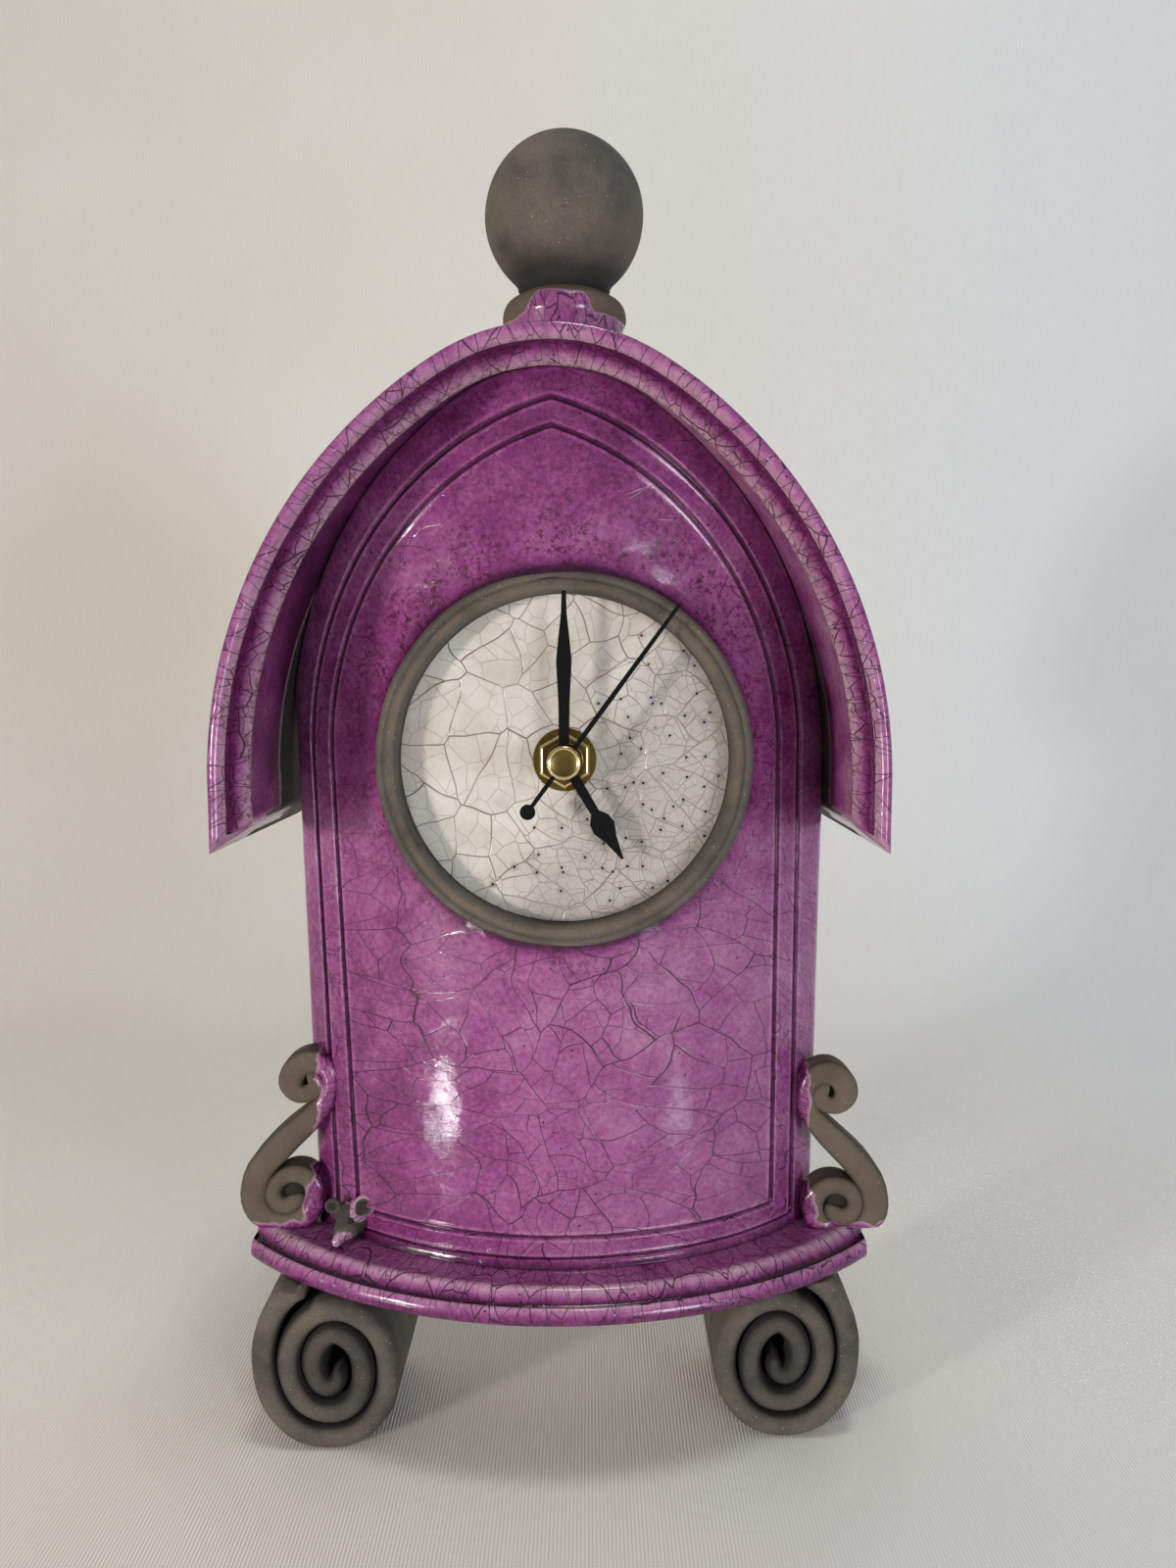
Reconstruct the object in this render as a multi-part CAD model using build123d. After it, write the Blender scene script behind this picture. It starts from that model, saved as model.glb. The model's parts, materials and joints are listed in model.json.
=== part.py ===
from build123d import *
import os
from math import acos, asin, copysign, cos, degrees, pi, radians, sin, sqrt, tan

os.makedirs("parts", exist_ok=True)

# Millimetres. X right, Y back, Z up. The clock faces -Y and stands on Z = 0.

# Driving dimensions of the fired clay case
BOW_Y = 64.0            # the upright axis that the panel bows round
PANEL_R = 90.0          # front face of the panel
PANEL_T = 6.0
LEDGE_R, LEDGE_Y = 115.0, 72.0   # front of the ledge, and the axis that it bows round
LEDGE_HALF = 81.8
BASE_BACK = 18.0
FOOT_TOP = 42.0
BASE_TOP = 48.4
AXIS_X, AXIS_Z = 2.0, 176.0   # the hands' axis; the hole was cut a little right of centre
ARCH_X = -1.0           # the hood sits a little left of the middle
ARCH_Z = 172.0          # springing of the pointed arch
ARCH_R = 112.0          # outer skin of the hood
ARCH_C = 34.0           # each arc's centre lies this far across the hood's middle
APEX_R = 48.0           # rounding of the outer skin at the point
HOOD_T = 5.2
HOOD_FRONT, HOOD_BACK = -44.0, 44.0
HOOD_END = 155.7        # outer skin ends here, the inner skin END_BEVEL higher
END_BEVEL = 6.0

# Dial and hands
DIAL_Y = -21.0          # front of the dial
DIAL_R, DIAL_T = 42.0, 5.0
BEZEL_FRONT = -28.0
BEZEL_IN, BEZEL_OUT = 40.2, 46.0
GASKET_T = 1.5

# Quartz movement, with depths counted back from its front face
MOVE_Y = DIAL_Y + DIAL_T + GASKET_T
MOVE_W = 56.0
MOVE_TOP = 19.5         # above the hands' axis
WALL = 1.5
ROOM_D = 15.0           # depth of the side walls
DIVIDER = -18.25        # the gear room ends here and the cell's bay begins
CELL_R, CELL_LONG, CELL_TIP = 7.1, 50.0, 1.3   # an AA cell
CELL_D, CELL_Z = 9.0, -27.6
RUN = 0.05              # radial clearance of a running fit
BUSH_R, HOUR_R, MINUTE_R, SECOND_R = 4.0, 2.5, 1.5, 0.5
PIVOT_R, PIVOT_IN = 0.4, 0.8
STEM_R, STEM_END = 0.9, 19.5   # of the minute wheel, where the setting knob is pressed on
NUT_FLATS = 12.0
HOUR_Y, MINUTE_Y, SECOND_Y = -26.6, -29.7, -31.9   # front faces of the hands
HAND_T = 0.5


def face_of(points):
    return make_face(Polyline(*points, close=True))


def slab(flat, front, back):
    """Extrude a face drawn in X, Z from Y = front to Y = back."""
    return extrude(Plane.XZ.offset(-back) * flat, amount=back - front, dir=(0, -1, 0))


def turned(points, x=AXIS_X, z=AXIS_Z):
    """Revolve (radius, Y) points about the line through (x, z) along Y."""
    return Pos(x, 0, z) * revolve(face_of(points), Axis.Y)


def upright(points, x, y):
    """Revolve (radius, Z) points about the upright line at (x, y)."""
    return Pos(x, y, 0) * revolve(Plane.XZ * face_of(points), Axis.Z)


def disc(radius, front, back, x=AXIS_X, z=AXIS_Z):
    return slab(Pos(x, z) * Circle(radius), front, back)


def tube(outer, inner, front, back, x=AXIS_X, z=AXIS_Z):
    return slab(Pos(x, z) * (Circle(outer) - Circle(inner)), front, back)


def block(x0, x1, y0, y1, z0, z1):
    return Pos((x0 + x1) / 2, (y0 + y1) / 2, (z0 + z1) / 2) * Box(x1 - x0, y1 - y0, z1 - z0)


def bow(radius):
    """The upright solid cylinder about the bow's axis."""
    return Pos(0, BOW_Y, 150) * Cylinder(radius, 400)


def polar(centre, radius, angle):
    return (centre[0] + radius * cos(radians(angle)), centre[1] + radius * sin(radians(angle)))


# The pointed arch: two arcs that cross the middle, with a rounded point
ARCH_RISE = sqrt((ARCH_R - APEX_R) ** 2 - ARCH_C**2)
ARCH_LEAN = degrees(acos(ARCH_C / (ARCH_R - APEX_R)))   # turn of each arc, up to the rounding


def arch_face(inset, low_left, low_right, left_from=ARCH_Z, right_from=ARCH_Z):
    """Front view of an arch, inset from the hood's outer skin; its arcs begin at two heights."""
    radius = ARCH_R - inset
    left, right = (ARCH_X + ARCH_C, ARCH_Z), (ARCH_X - ARCH_C, ARCH_Z)
    start_left, start_right = (
        degrees(asin((height - ARCH_Z) / radius)) for height in (left_from, right_from))
    p0, p1 = polar(left, radius, 180 - start_left), polar(left, radius, 180 - ARCH_LEAN)
    q0, q1 = polar(right, radius, start_right), polar(right, radius, ARCH_LEAN)
    return make_face(Curve() + [
        ThreePointArc(p0, polar(left, radius, 180 - (start_left + ARCH_LEAN) / 2), p1),
        ThreePointArc(p1, (ARCH_X, ARCH_Z + ARCH_RISE + APEX_R - inset), q1),
        ThreePointArc(q1, polar(right, radius, (start_right + ARCH_LEAN) / 2), q0),
        Polyline(q0, low_right, low_left, p0),
    ])


# Hood: one moulded strip bent over the arch, its lower ends cut on a bevel
def hood_section(outer):
    """Section of the strip in X, Y with its outer skin at X = outer: lip, cove and ridge."""
    def at(depth, thick):
        return (outer - thick, HOOD_FRONT + depth)
    deep = HOOD_BACK - HOOD_FRONT
    return make_face(Curve() + [
        ThreePointArc(at(2.2, 0), at(0, 1.7), at(3, 3.6)),
        Spline(at(3, 3.6), at(6.5, 2.9), at(10, 3.9), at(12.2, 5.7), at(14.6, 6.4), at(17, HOOD_T)),
        Polyline(at(17, HOOD_T), at(deep, HOOD_T), at(deep, 0), at(2.2, 0)),
    ])


def bent_strip(centre, outer, start, turn):
    """The strip bent about a centre in X, Z, from a start angle on through a turn."""
    bend = revolve(hood_section(outer), Axis.Y, turn)
    return Pos(centre[0], 0, centre[1]) * Rot(0, -start - turn, 0) * bend


def make_hood():
    half, low = ARCH_R - ARCH_C, HOOD_END - 8
    side = Pos(0, 0, low) * extrude(hood_section(half), amount=ARCH_Z - low, dir=(0, 0, 1))
    side += bent_strip((-ARCH_C, ARCH_Z), ARCH_R, 0, ARCH_LEAN)
    side += bent_strip((0, ARCH_Z + ARCH_RISE), APEX_R, ARCH_LEAN, 90 - ARCH_LEAN)
    slope = END_BEVEL / HOOD_T
    side -= slab(face_of([
        (half + 4, HOOD_END - 4 * slope),
        (half - 10, HOOD_END + 10 * slope),
        (half - 10, low - 30),
        (half + 4, low - 30),
    ]), HOOD_FRONT - 1, HOOD_BACK + 1)
    return Pos(ARCH_X, 0, 0) * (side + mirror(side, Plane.YZ))


# Front panel: a bowed slab with two lines drawn round it and a round hole
PANEL_FITS = (194.0, 174.0)   # above these heights its left and right edges lie against the hood
PANEL_LEFT, PANEL_RIGHT = -66.0, 69.5   # lower corners
LINES = ((6.8, 50.9), (13.0, 56.4))     # (in from the corners, height along the bottom)
LINE_W, LINE_DEEP = 1.5, 0.9
LINE_R, LINE_C, LINE_Z = 88.0, 24.0, 177.0   # sharp pointed arch of the outer line


def panel_face():
    """Front view of the panel: the arch, then straight sides that draw in downwards."""
    return arch_face(HOOD_T, (PANEL_LEFT, BASE_TOP), (PANEL_RIGHT, BASE_TOP), *PANEL_FITS)


def line_face(inset, foot):
    """Front view of all that a drawn line runs round."""
    radius = LINE_R + LINES[0][0] - inset
    lean = degrees(acos(LINE_C / radius))
    left, right = (ARCH_X + LINE_C, LINE_Z), (ARCH_X - LINE_C, LINE_Z)
    point = polar(right, radius, lean)
    p0, q0 = polar(left, radius, 180), polar(right, radius, 0)
    return make_face(Curve() + [
        ThreePointArc(p0, polar(left, radius, 180 - lean / 2), point),
        ThreePointArc(point, polar(right, radius, lean / 2), q0),
        Polyline(q0, (PANEL_RIGHT - inset, foot), (PANEL_LEFT + inset, foot), p0),
    ])


def make_panel():
    shell = bow(PANEL_R) - bow(PANEL_R - PANEL_T)
    panel = slab(panel_face(), -40, 30) & shell
    skin = bow(PANEL_R + 2) - bow(PANEL_R - LINE_DEEP)
    half = LINE_W / 2
    for inset, foot in LINES:
        line = line_face(inset - half, foot - half) - line_face(inset + half, foot + half)
        panel -= slab(line, -40, 30) & skin
    return panel - disc(DIAL_R + 0.3, -60, 60)


# Base: a bowed slab with a moulded front edge
def make_base():
    r = LEDGE_R
    z, top = FOOT_TOP, BASE_TOP
    bead = ThreePointArc((r - 2, z), (r, z + 2.3), (r - 1.6, z + 4.6))
    moulding = Spline((r - 1.6, z + 4.6), (r - 3.4, z + 3.5), (r - 5.6, top - 0.6),
                      (r - 7.3, top + 0.6), (r - 9, top + 0.3), (r - 12, top))
    rest = Polyline((r - 12, top), (0, top), (0, z), (r - 2, z))
    flat = Plane.XZ * make_face(Curve() + [bead, moulding, rest])
    whole = Pos(0, LEDGE_Y, 0) * revolve(flat, Axis.Z)
    return whole & block(-LEDGE_HALF, LEDGE_HALF, -60, BASE_BACK, 0, 100)


# Rolled feet and scrolls: flat bands, each between two curves
def band(left, right, front, back):
    """A strap whose two sides pass through the given points."""
    sides = [Spline(*left), Spline(*right)]
    ends = [Line(left[0], right[0]), Line(left[-1], right[-1])]
    return slab(Face(Wire(sides + ends)), front, back)


FOOT_X, FOOT_MID = 57.4, 21.5
LEFT_FOOT_FRONT, RIGHT_FOOT_FRONT = -26.5, -21.5
FOOT_LONG = 44.0
ROLL_PITCH, ROLL_T = 6.4, 6.0
ROLL_START, ROLL_END = 110, 1080  # degrees, anticlockwise from the right in the left foot
ROLL_OUT = 18.75                  # middle of the strap at the start
ROLL_TALL = 1.18                  # the roll is taller than wide
ROLL_UPPER = (0.8, 1.4)           # powers that square its outer turn and point its inner one
ROLL_LOWER = 0.9


def roll_side(side, hand):
    """Points along the strap's outer side (1) or inner side (-1)."""
    points = []
    for angle in range(ROLL_START, ROLL_END + 1, 10):
        middle = ROLL_OUT - ROLL_PITCH * (angle - ROLL_START) / 360
        radius = middle + side * min(ROLL_T / 2, 0.85 * middle)
        x, z = cos(radians(angle)), sin(radians(angle))
        outer, inner = ROLL_UPPER
        share = (angle - ROLL_START) / (ROLL_END - ROLL_START)
        power = outer + (inner - outer) * share if z > 0 else ROLL_LOWER
        x = radius * copysign(abs(x) ** power, x)
        points.append((hand * (x - FOOT_X), FOOT_MID + radius * z * ROLL_TALL))
    return points


def make_foot(hand, front):
    """hand 1 is the left foot, -1 the right."""
    roll = band(roll_side(1, hand), roll_side(-1, hand), front, front + FOOT_LONG)
    return roll & block(-100, 100, -60, 60, 0, FOOT_TOP)


# The right scroll, seen from the front: a large curl below, a strap, a small curl above.
# Each curl runs in quarter turns with (radius, half width) at every quarter.
LOWER_AT, UPPER_AT = (73.0, 57.0), (71.0, 88.0)
UPPER_CURL = ((5.8, 1.9), (5.6, 3.0), (4.8, 3.0), (3.1, 1.9), (1.7, 1.1), (1.0, 0.8))
STRAP = ((81.6, 63.6, 3.4), (76.0, 71.2, 3.4), (69.8, 77.6, 3.0), (65.7, 83.0, 2.3))
CURL_STEPS = 3          # points in a quarter turn
SCROLL_FRONT, SCROLL_BACK = -5.0, 4.5
LEFT_SCROLL, RIGHT_SCROLL = (0.0, 3.7, 0.5), (2.7, 1.5, -2.6)   # (out, lean of the upper curl, up)
MOULDING_UP = 0.62      # the ledge's ridge stands this far over the slab


def scroll_middle(out, lean, up):
    """(X, Z, half width) along the strap, from the lower tip to the upper."""
    points = []
    for i in range(6 * CURL_STEPS + 1):
        k = i / CURL_STEPS
        x, z = polar(LOWER_AT, 1.6 + 1.35 * k, 180 + 90 * k)
        points.append((x, z, 1.0 + 0.4 * k))
    points.extend(STRAP)
    for i in range((len(UPPER_CURL) - 1) * CURL_STEPS + 1):
        k, part = divmod(i, CURL_STEPS)
        share = part / CURL_STEPS
        near, far = UPPER_CURL[k], UPPER_CURL[min(k + 1, len(UPPER_CURL) - 1)]
        radius = near[0] + (far[0] - near[0]) * share
        half = near[1] + (far[1] - near[1]) * share
        x, z = polar(UPPER_AT, radius, 180 - 90 * i / CURL_STEPS)
        points.append((x, z, half))
    slope = lean / (UPPER_AT[1] - LOWER_AT[1])
    return [(x + out - slope * (z - LOWER_AT[1]), z + up, half) for x, z, half in points]


def make_scroll(hand, out, lean, up):
    """hand 1 is the right scroll, -1 the left."""
    middle = scroll_middle(out, lean, up)
    left, right = [], []
    for i, (x, z, half) in enumerate(middle):
        before, after = middle[max(i - 1, 0)], middle[min(i + 1, len(middle) - 1)]
        dx, dz = after[0] - before[0], after[1] - before[1]
        size = sqrt(dx * dx + dz * dz)
        nx, nz = -dz / size * half, dx / size * half
        left.append((hand * (x + nx), z + nz))
        right.append((hand * (x - nx), z - nz))
    scroll = band(left, right, SCROLL_FRONT, SCROLL_BACK)
    seat = block(-LEDGE_HALF, LEDGE_HALF, -60, BASE_BACK, 0, BASE_TOP + MOULDING_UP)
    return scroll - bow(PANEL_R) - seat


# Finial
FINIAL_X, FINIAL_Y = 1.9, -10.0
BALL_R, BALL_Z = 19.5, 307.6
NECK_R, NECK_Z = 11.4, 289.0


def make_collar(hood_filled):
    flat = make_face(Curve() + [
        Polyline((10.4, NECK_Z), (0, NECK_Z), (0, 262), (13, 262), (13, 278)),
        Spline((13, 278), (15.4, 283.3), (10.4, NECK_Z)),
    ])
    return Pos(FINIAL_X, FINIAL_Y, 0) * revolve(Plane.XZ * flat, Axis.Z) - hood_filled


def make_ball():
    neck = upright([(0, NECK_Z), (10.4, NECK_Z), (NECK_R, NECK_Z + 1.2), (NECK_R, NECK_Z + 6),
                    (0, NECK_Z + 6)], FINIAL_X, FINIAL_Y)
    ball = neck + Pos(FINIAL_X, FINIAL_Y, BALL_Z) * Sphere(BALL_R)
    return ball - block(-40, 40, -40, 40, NECK_Z - 20, NECK_Z)


# Bezel and dial
def make_bezel():
    b, i, o = BEZEL_FRONT, BEZEL_IN, BEZEL_OUT
    deep = BOW_Y - PANEL_R * 0.8
    flat = make_face(Curve() + [
        Spline((i, b + 1.6), (i + 1.6, b), (i + 3.2, b + 0.9)),
        Spline((i + 3.2, b + 0.9), (o - 1.2, b + 1.0), (o, b + 2.6)),
        Polyline((o, b + 2.6), (o, deep), (DIAL_R, deep), (DIAL_R, DIAL_Y), (i, DIAL_Y),
                 (i, b + 1.6)),
    ])
    return Pos(AXIS_X, 0, AXIS_Z) * revolve(flat, Axis.Y) - bow(PANEL_R)


# Mouse: a snouted head with two round ears, peeping from the corner
MOUSE_NOSE, MOUSE_BACK = (-57.8, -17.0, 50.8), (-53.6, -5.5, 55.2)
MOUSE_EARS = ((-59.8, -9.4, 58.0, 2.4), (-51.2, -10.0, 58.8, 2.9))
MOUSE_EYES = ((-55.0, -12.6, 55.4), (-58.6, -11.8, 54.2))


def make_mouse():
    span = Vector(*MOUSE_NOSE) - Vector(*MOUSE_BACK)
    length = span.length
    profile = make_face(Curve() + [
        Spline((0, 0), (4.2, 2.0), (4.7, 0.45 * length), (2.4, 0.8 * length), (0, length)),
        Line((0, length), (0, 0)),
    ])
    along = Plane(origin=MOUSE_BACK, z_dir=span)
    head = along * revolve(Plane.XZ * profile, Axis.Z)
    for x, y, z in MOUSE_EYES:
        head -= Pos(x, y, z) * Sphere(0.8)
    return head


def make_ear(x, y, z, radius):
    cup = Pos(x, y - 2.4, z) * Sphere(radius * 0.8)
    return slab(Pos(x, z) * Circle(radius), y - 1.0, y + 1.0) - cup


# Gears: straight-flanked teeth, thin enough to run free
def gear(teeth, module, addendum, dedendum=1.15, play=0.22):
    pitch = teeth * module / 2
    tip, root = pitch + addendum * module, pitch - dedendum * module
    quarter = (pi / 2 - play) * module / 2 / pitch   # half a tooth, as an angle at the pitch circle
    slope = tan(radians(20))
    points = []
    for k in range(teeth):
        middle = 2 * pi * k / teeth
        for radius, side in ((root, -1), (tip, -1), (tip, 1), (root, 1)):
            half = quarter - (radius - pitch) * slope / pitch
            half = min(half, 0.75 * pi / teeth)
            points.append((radius * cos(middle + side * half), radius * sin(middle + side * half)))
    return face_of(points)


WHEEL_ADD, PINION_ADD = 0.5, 0.85
GEAR_T = 1.0
# teeth and modules of each mesh: (pinion, wheel, module)
SECOND_MESH = (10, 60, 0.25)      # intermediate pinion on the seconds wheel
ROTOR_MESH = (8, 40, 0.25)        # rotor pinion on the intermediate wheel
THIRD_MESH = (8, 60, 0.25)        # seconds pinion on the third wheel
CENTRE_MESH = (8, 64, 0.25 * 68 / 72)   # third pinion on the centre wheel, same distance
CANNON_MESH = (12, 36, 0.38)      # cannon pinion on the minute wheel
HOUR_MESH = (10, 40, 0.38 * 48 / 50)    # minute pinion on the hour wheel, same distance


def distance(mesh):
    return (mesh[0] + mesh[1]) * mesh[2] / 2


HOUR_D, CANNON_D, CENTRE_D, THIRD_D, SECOND_D, ROTOR_D = 1.9, 3.3, 4.8, 6.2, 7.6, 9.0
THIRD_AT = polar((0, 0), distance(THIRD_MESH), 90)
INTER_AT = polar((0, 0), distance(SECOND_MESH), 210)
MINUTE_AT = polar((0, 0), distance(CANNON_MESH), 330)
ROTOR_AT = polar(INTER_AT, distance(ROTOR_MESH), 170)
COIL_X = -21.5
CORE_D, CORE_T = ROTOR_D + 1.9, 1.2   # the stator's plate lies round the rotor's magnet


def in_move(at):
    return AXIS_X + at[0], AXIS_Z + at[1]


def wheel(mesh, which, depth, at=(0, 0), turn=0.0):
    """A pinion (which 0) or wheel (which 1), at a depth behind the movement's front."""
    add = (PINION_ADD, WHEEL_ADD)[which]
    x, z = in_move(at)
    flat = Pos(x, z) * Rot(0, 0, turn) * gear(mesh[which], mesh[2], add)
    return slab(flat, MOVE_Y + depth, MOVE_Y + depth + GEAR_T)


def mesh_turn(towards, driver_teeth, driven_teeth):
    """Turn of the driven gear that lays its gaps on the teeth of an unturned driver."""
    return towards + 180 + (180 + towards * driver_teeth) / driven_teeth


def arbor(radius, at, front, back):
    x, z = in_move(at)
    return disc(radius, MOVE_Y + front, MOVE_Y + back, x, z)


def pivoted(at, radius):
    """An arbor between the two plates, with a thin pivot at each end."""
    thin = arbor(PIVOT_R, at, WALL - PIVOT_IN, ROOM_D + PIVOT_IN)
    return thin + arbor(radius, at, WALL + 0.2, ROOM_D - 0.2)


def build_train():
    """The seven turning pieces, each moulded in one with its pinion and arbor."""
    y = MOVE_Y
    train = {}
    seconds = disc(SECOND_R, SECOND_Y - 0.6, y + ROOM_D - 0.2)
    seconds += disc(PIVOT_R, y + 10, y + ROOM_D + PIVOT_IN)
    seconds += wheel(THIRD_MESH, 0, THIRD_D)
    train["seconds_wheel"] = seconds + wheel(SECOND_MESH, 1, SECOND_D)

    turn = mesh_turn(90, 8, 60)
    third = pivoted(THIRD_AT, 0.6) + wheel(THIRD_MESH, 1, THIRD_D, THIRD_AT, turn)
    train["third_wheel"] = third + wheel(CENTRE_MESH, 0, CENTRE_D, THIRD_AT)

    turn = mesh_turn(270, 8, 64)
    bore = disc(SECOND_R + RUN, -60, 60)
    centre = disc(MINUTE_R, MINUTE_Y - 0.8, y + CENTRE_D + 0.2)
    centre += wheel(CANNON_MESH, 0, CANNON_D) + wheel(CENTRE_MESH, 1, CENTRE_D, turn=turn)
    train["centre_wheel"] = centre - bore

    turn = mesh_turn(330, 12, 36)
    x, z = in_move(MINUTE_AT)
    minute = disc(STEM_R, y + WALL + 0.2, y + STEM_END, x, z)
    minute += disc(PIVOT_R, y + WALL - PIVOT_IN, y + 3, x, z)
    minute += wheel(CANNON_MESH, 1, CANNON_D, MINUTE_AT, turn)
    train["minute_wheel"] = minute + wheel(HOUR_MESH, 0, HOUR_D, MINUTE_AT)

    turn = mesh_turn(150, 10, 40)
    hour = disc(HOUR_R, HOUR_Y - 0.6, y + HOUR_D + 0.2) + wheel(HOUR_MESH, 1, HOUR_D, turn=turn)
    train["hour_wheel"] = hour - disc(MINUTE_R + RUN, -60, 60)

    turn = mesh_turn(210, 60, 10)
    inter = pivoted(INTER_AT, 0.6) + wheel(SECOND_MESH, 0, SECOND_D, INTER_AT, turn)
    train["intermediate_wheel"] = inter + wheel(ROTOR_MESH, 1, ROTOR_D, INTER_AT)

    turn = mesh_turn(170, 40, 8)
    rotor = pivoted(ROTOR_AT, 0.5) + wheel(ROTOR_MESH, 0, ROTOR_D, ROTOR_AT, turn)
    train["rotor"] = rotor + arbor(2.8, ROTOR_AT, ROTOR_D + 1.4, ROTOR_D + 3.6)
    return train


# Movement case and electrics
def plate(x0, x1, z0, z1, d0, d1):
    """A block given about the hands' axis, by depth behind the movement's front."""
    return block(AXIS_X + x0, AXIS_X + x1, MOVE_Y + d0, MOVE_Y + d1, AXIS_Z + z0, AXIS_Z + z1)


def pivot_holes(d0, d1, points, radius=PIVOT_R + RUN):
    holes = Part()
    for at in points:
        holes += arbor(radius, at, d0, d1)
    return holes


def upright_rod(radius, z0, z1, x, depth):
    """A round rod along Z, given about the hands' axis."""
    middle = Pos(AXIS_X + x, MOVE_Y + depth, AXIS_Z + (z0 + z1) / 2)
    return middle * Cylinder(radius, z1 - z0)


def lying_rod(radius, start, length):
    """A round rod along the cell's own axis."""
    middle = Pos(AXIS_X + start + length / 2, MOVE_Y + CELL_D, AXIS_Z + CELL_Z)
    return middle * Rot(0, 90, 0) * Cylinder(radius, length)


def build_movement():
    half, top = MOVE_W / 2, MOVE_TOP
    low = top - MOVE_W
    inner = half - WALL
    parts = {}
    tray = plate(-half, half, low, top, 0, ROOM_D)
    tray -= plate(-inner, inner, DIVIDER, top - WALL, WALL, ROOM_D)
    tray -= plate(-inner, inner, low + WALL, DIVIDER - WALL, WALL, ROOM_D)
    tray -= arbor(BUSH_R, (0, 0), -1, WALL + 1)
    tray -= pivot_holes(WALL - PIVOT_IN - 0.1, WALL, (THIRD_AT, INTER_AT, MINUTE_AT, ROTOR_AT))
    parts["movement_tray"] = tray

    cover = plate(-half, half, DIVIDER - WALL, top, ROOM_D, ROOM_D + WALL)
    cover -= pivot_holes(ROOM_D, ROOM_D + PIVOT_IN + 0.1, ((0, 0), THIRD_AT, INTER_AT, ROTOR_AT))
    cover -= arbor(STEM_R + RUN, MINUTE_AT, ROOM_D, ROOM_D + WALL)
    for at in ((COIL_X, -6.5), (-13.5, 15.4), (-10.2, -7.0)):
        cover += arbor(0.9, at, CORE_D + CORE_T, ROOM_D)
    parts["movement_cover"] = cover

    y = MOVE_Y
    parts["threaded_bush"] = tube(BUSH_R, HOUR_R + RUN, -25.2, y + WALL)
    parts["rubber_gasket"] = tube(9.0, BUSH_R, y - GASKET_T, y)
    parts["brass_washer"] = tube(7.75, BUSH_R, DIAL_Y - 0.6, DIAL_Y)
    front, back = DIAL_Y - 3.0, DIAL_Y - 0.6
    hexagon = RegularPolygon(NUT_FLATS / 2, 6, major_radius=False, rotation=30) - Circle(BUSH_R)
    dome = turned([(0, front), (6.1, front), (7.2, front + 0.8), (7.2, back), (0, back)])
    parts["hex_nut"] = slab(Pos(AXIS_X, AXIS_Z) * hexagon, front, back) & dome

    rx, rz = ROTOR_AT
    left, right = COIL_X - 1.1, COIL_X + 1.1
    flat = (CORE_D, CORE_D + CORE_T)
    core = plate(left, right, rz - 5, 16.5, *flat)
    core += plate(left, rx + 1.2, 14.3, 16.5, *flat)
    core += plate(rx - 1.2, rx + 1.2, rz + 2, 16.5, *flat)
    core += plate(left, rx + 4.6, rz - 5, rz + 4.6, *flat)
    core -= arbor(3.3, ROTOR_AT, CORE_D - 1, CORE_D + 3)
    core -= plate(right, rx - 4.4, rz + 1.6, rz + 4.7, CORE_D - 1, CORE_D + 3)
    parts["motor_stator"] = core
    winding = Part()
    for radius, z0, z1 in ((3.3, 2.8, 3.6), (2.9, 3.6, 12.8), (3.3, 12.8, 13.6)):
        winding += upright_rod(radius, z0, z1, COIL_X, CORE_D + CORE_T / 2)
    parts["motor_coil"] = winding - core

    board = plate(9, 25.5, 5, 17, ROOM_D - 1.0, ROOM_D)
    chip = arbor(2.6, (15, 11), ROOM_D - 2.2, ROOM_D - 1.0)
    parts["circuit_board"] = board + chip
    parts["quartz_crystal"] = upright_rod(1.0, 7, 14, 21.5, ROOM_D - 2.0)

    bay = (CELL_Z - 5, CELL_Z + 5, CELL_D - 5, CELL_D + 5)
    pad = (CELL_Z - 2, CELL_Z + 2, CELL_D - 2, CELL_D + 2)
    plus = plate(inner - 0.5, inner, *bay)
    parts["contact_plus"] = plus + plate(inner - 1.1, inner - 0.5, *pad)
    minus = plate(-inner, -inner + 0.4, *bay)
    for k, radius in enumerate((4.4, 3.4, 2.4)):
        minus += lying_rod(radius, -inner + 0.4 + 0.5 * k, 0.5)
    parts["contact_minus"] = minus
    start = -inner + 1.9
    cell = lying_rod(CELL_R, start, CELL_LONG - CELL_TIP)
    parts["cell"] = cell + lying_rod(2.7, start + CELL_LONG - CELL_TIP, CELL_TIP)

    x, z = in_move(MINUTE_AT)
    knob = disc(5.0, y + 17.0, y + 20.0, x, z) - disc(STEM_R, y + 16, y + STEM_END, x, z)
    for k in range(12):
        nx, nz = polar((x, z), 5.3, 30 * k)
        knob -= disc(0.7, y + 16, y + 21, nx, nz)
    parts["setting_knob"] = knob
    return parts


# Hands. Each outline is (distance out from the axis, half width), drawn towards twelve.
HOUR_OUTLINE = ((3, 1.3), (9, 1.2), (14.5, 1.1), (16.5, 2.6), (18.8, 2.9), (22, 1.6), (26.5, 0.5),
                (27.6, 0.35))
MINUTE_OUTLINE = ((3, 1.2), (14, 1.35), (24, 1.85), (30, 1.25), (35, 0.7), (40.4, 0.5))
SECOND_OUTLINE = ((-13.6, 0.5), (1, 0.6), (20, 0.6), (46.0, 0.45))
# name: (degrees past twelve, front face, radius of the hub, radius of its hole, outline)
HANDS = {
    "hour_hand": (149.3, HOUR_Y, 4.2, HOUR_R, HOUR_OUTLINE),
    "minute_hand": (0.0, MINUTE_Y, 4.4, MINUTE_R, MINUTE_OUTLINE),
    "seconds_hand": (36.2, SECOND_Y, 2.6, SECOND_R, SECOND_OUTLINE),
}
TAIL_R, TAIL_AT = 1.85, -14.6
CAP_R = 4.1


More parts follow.
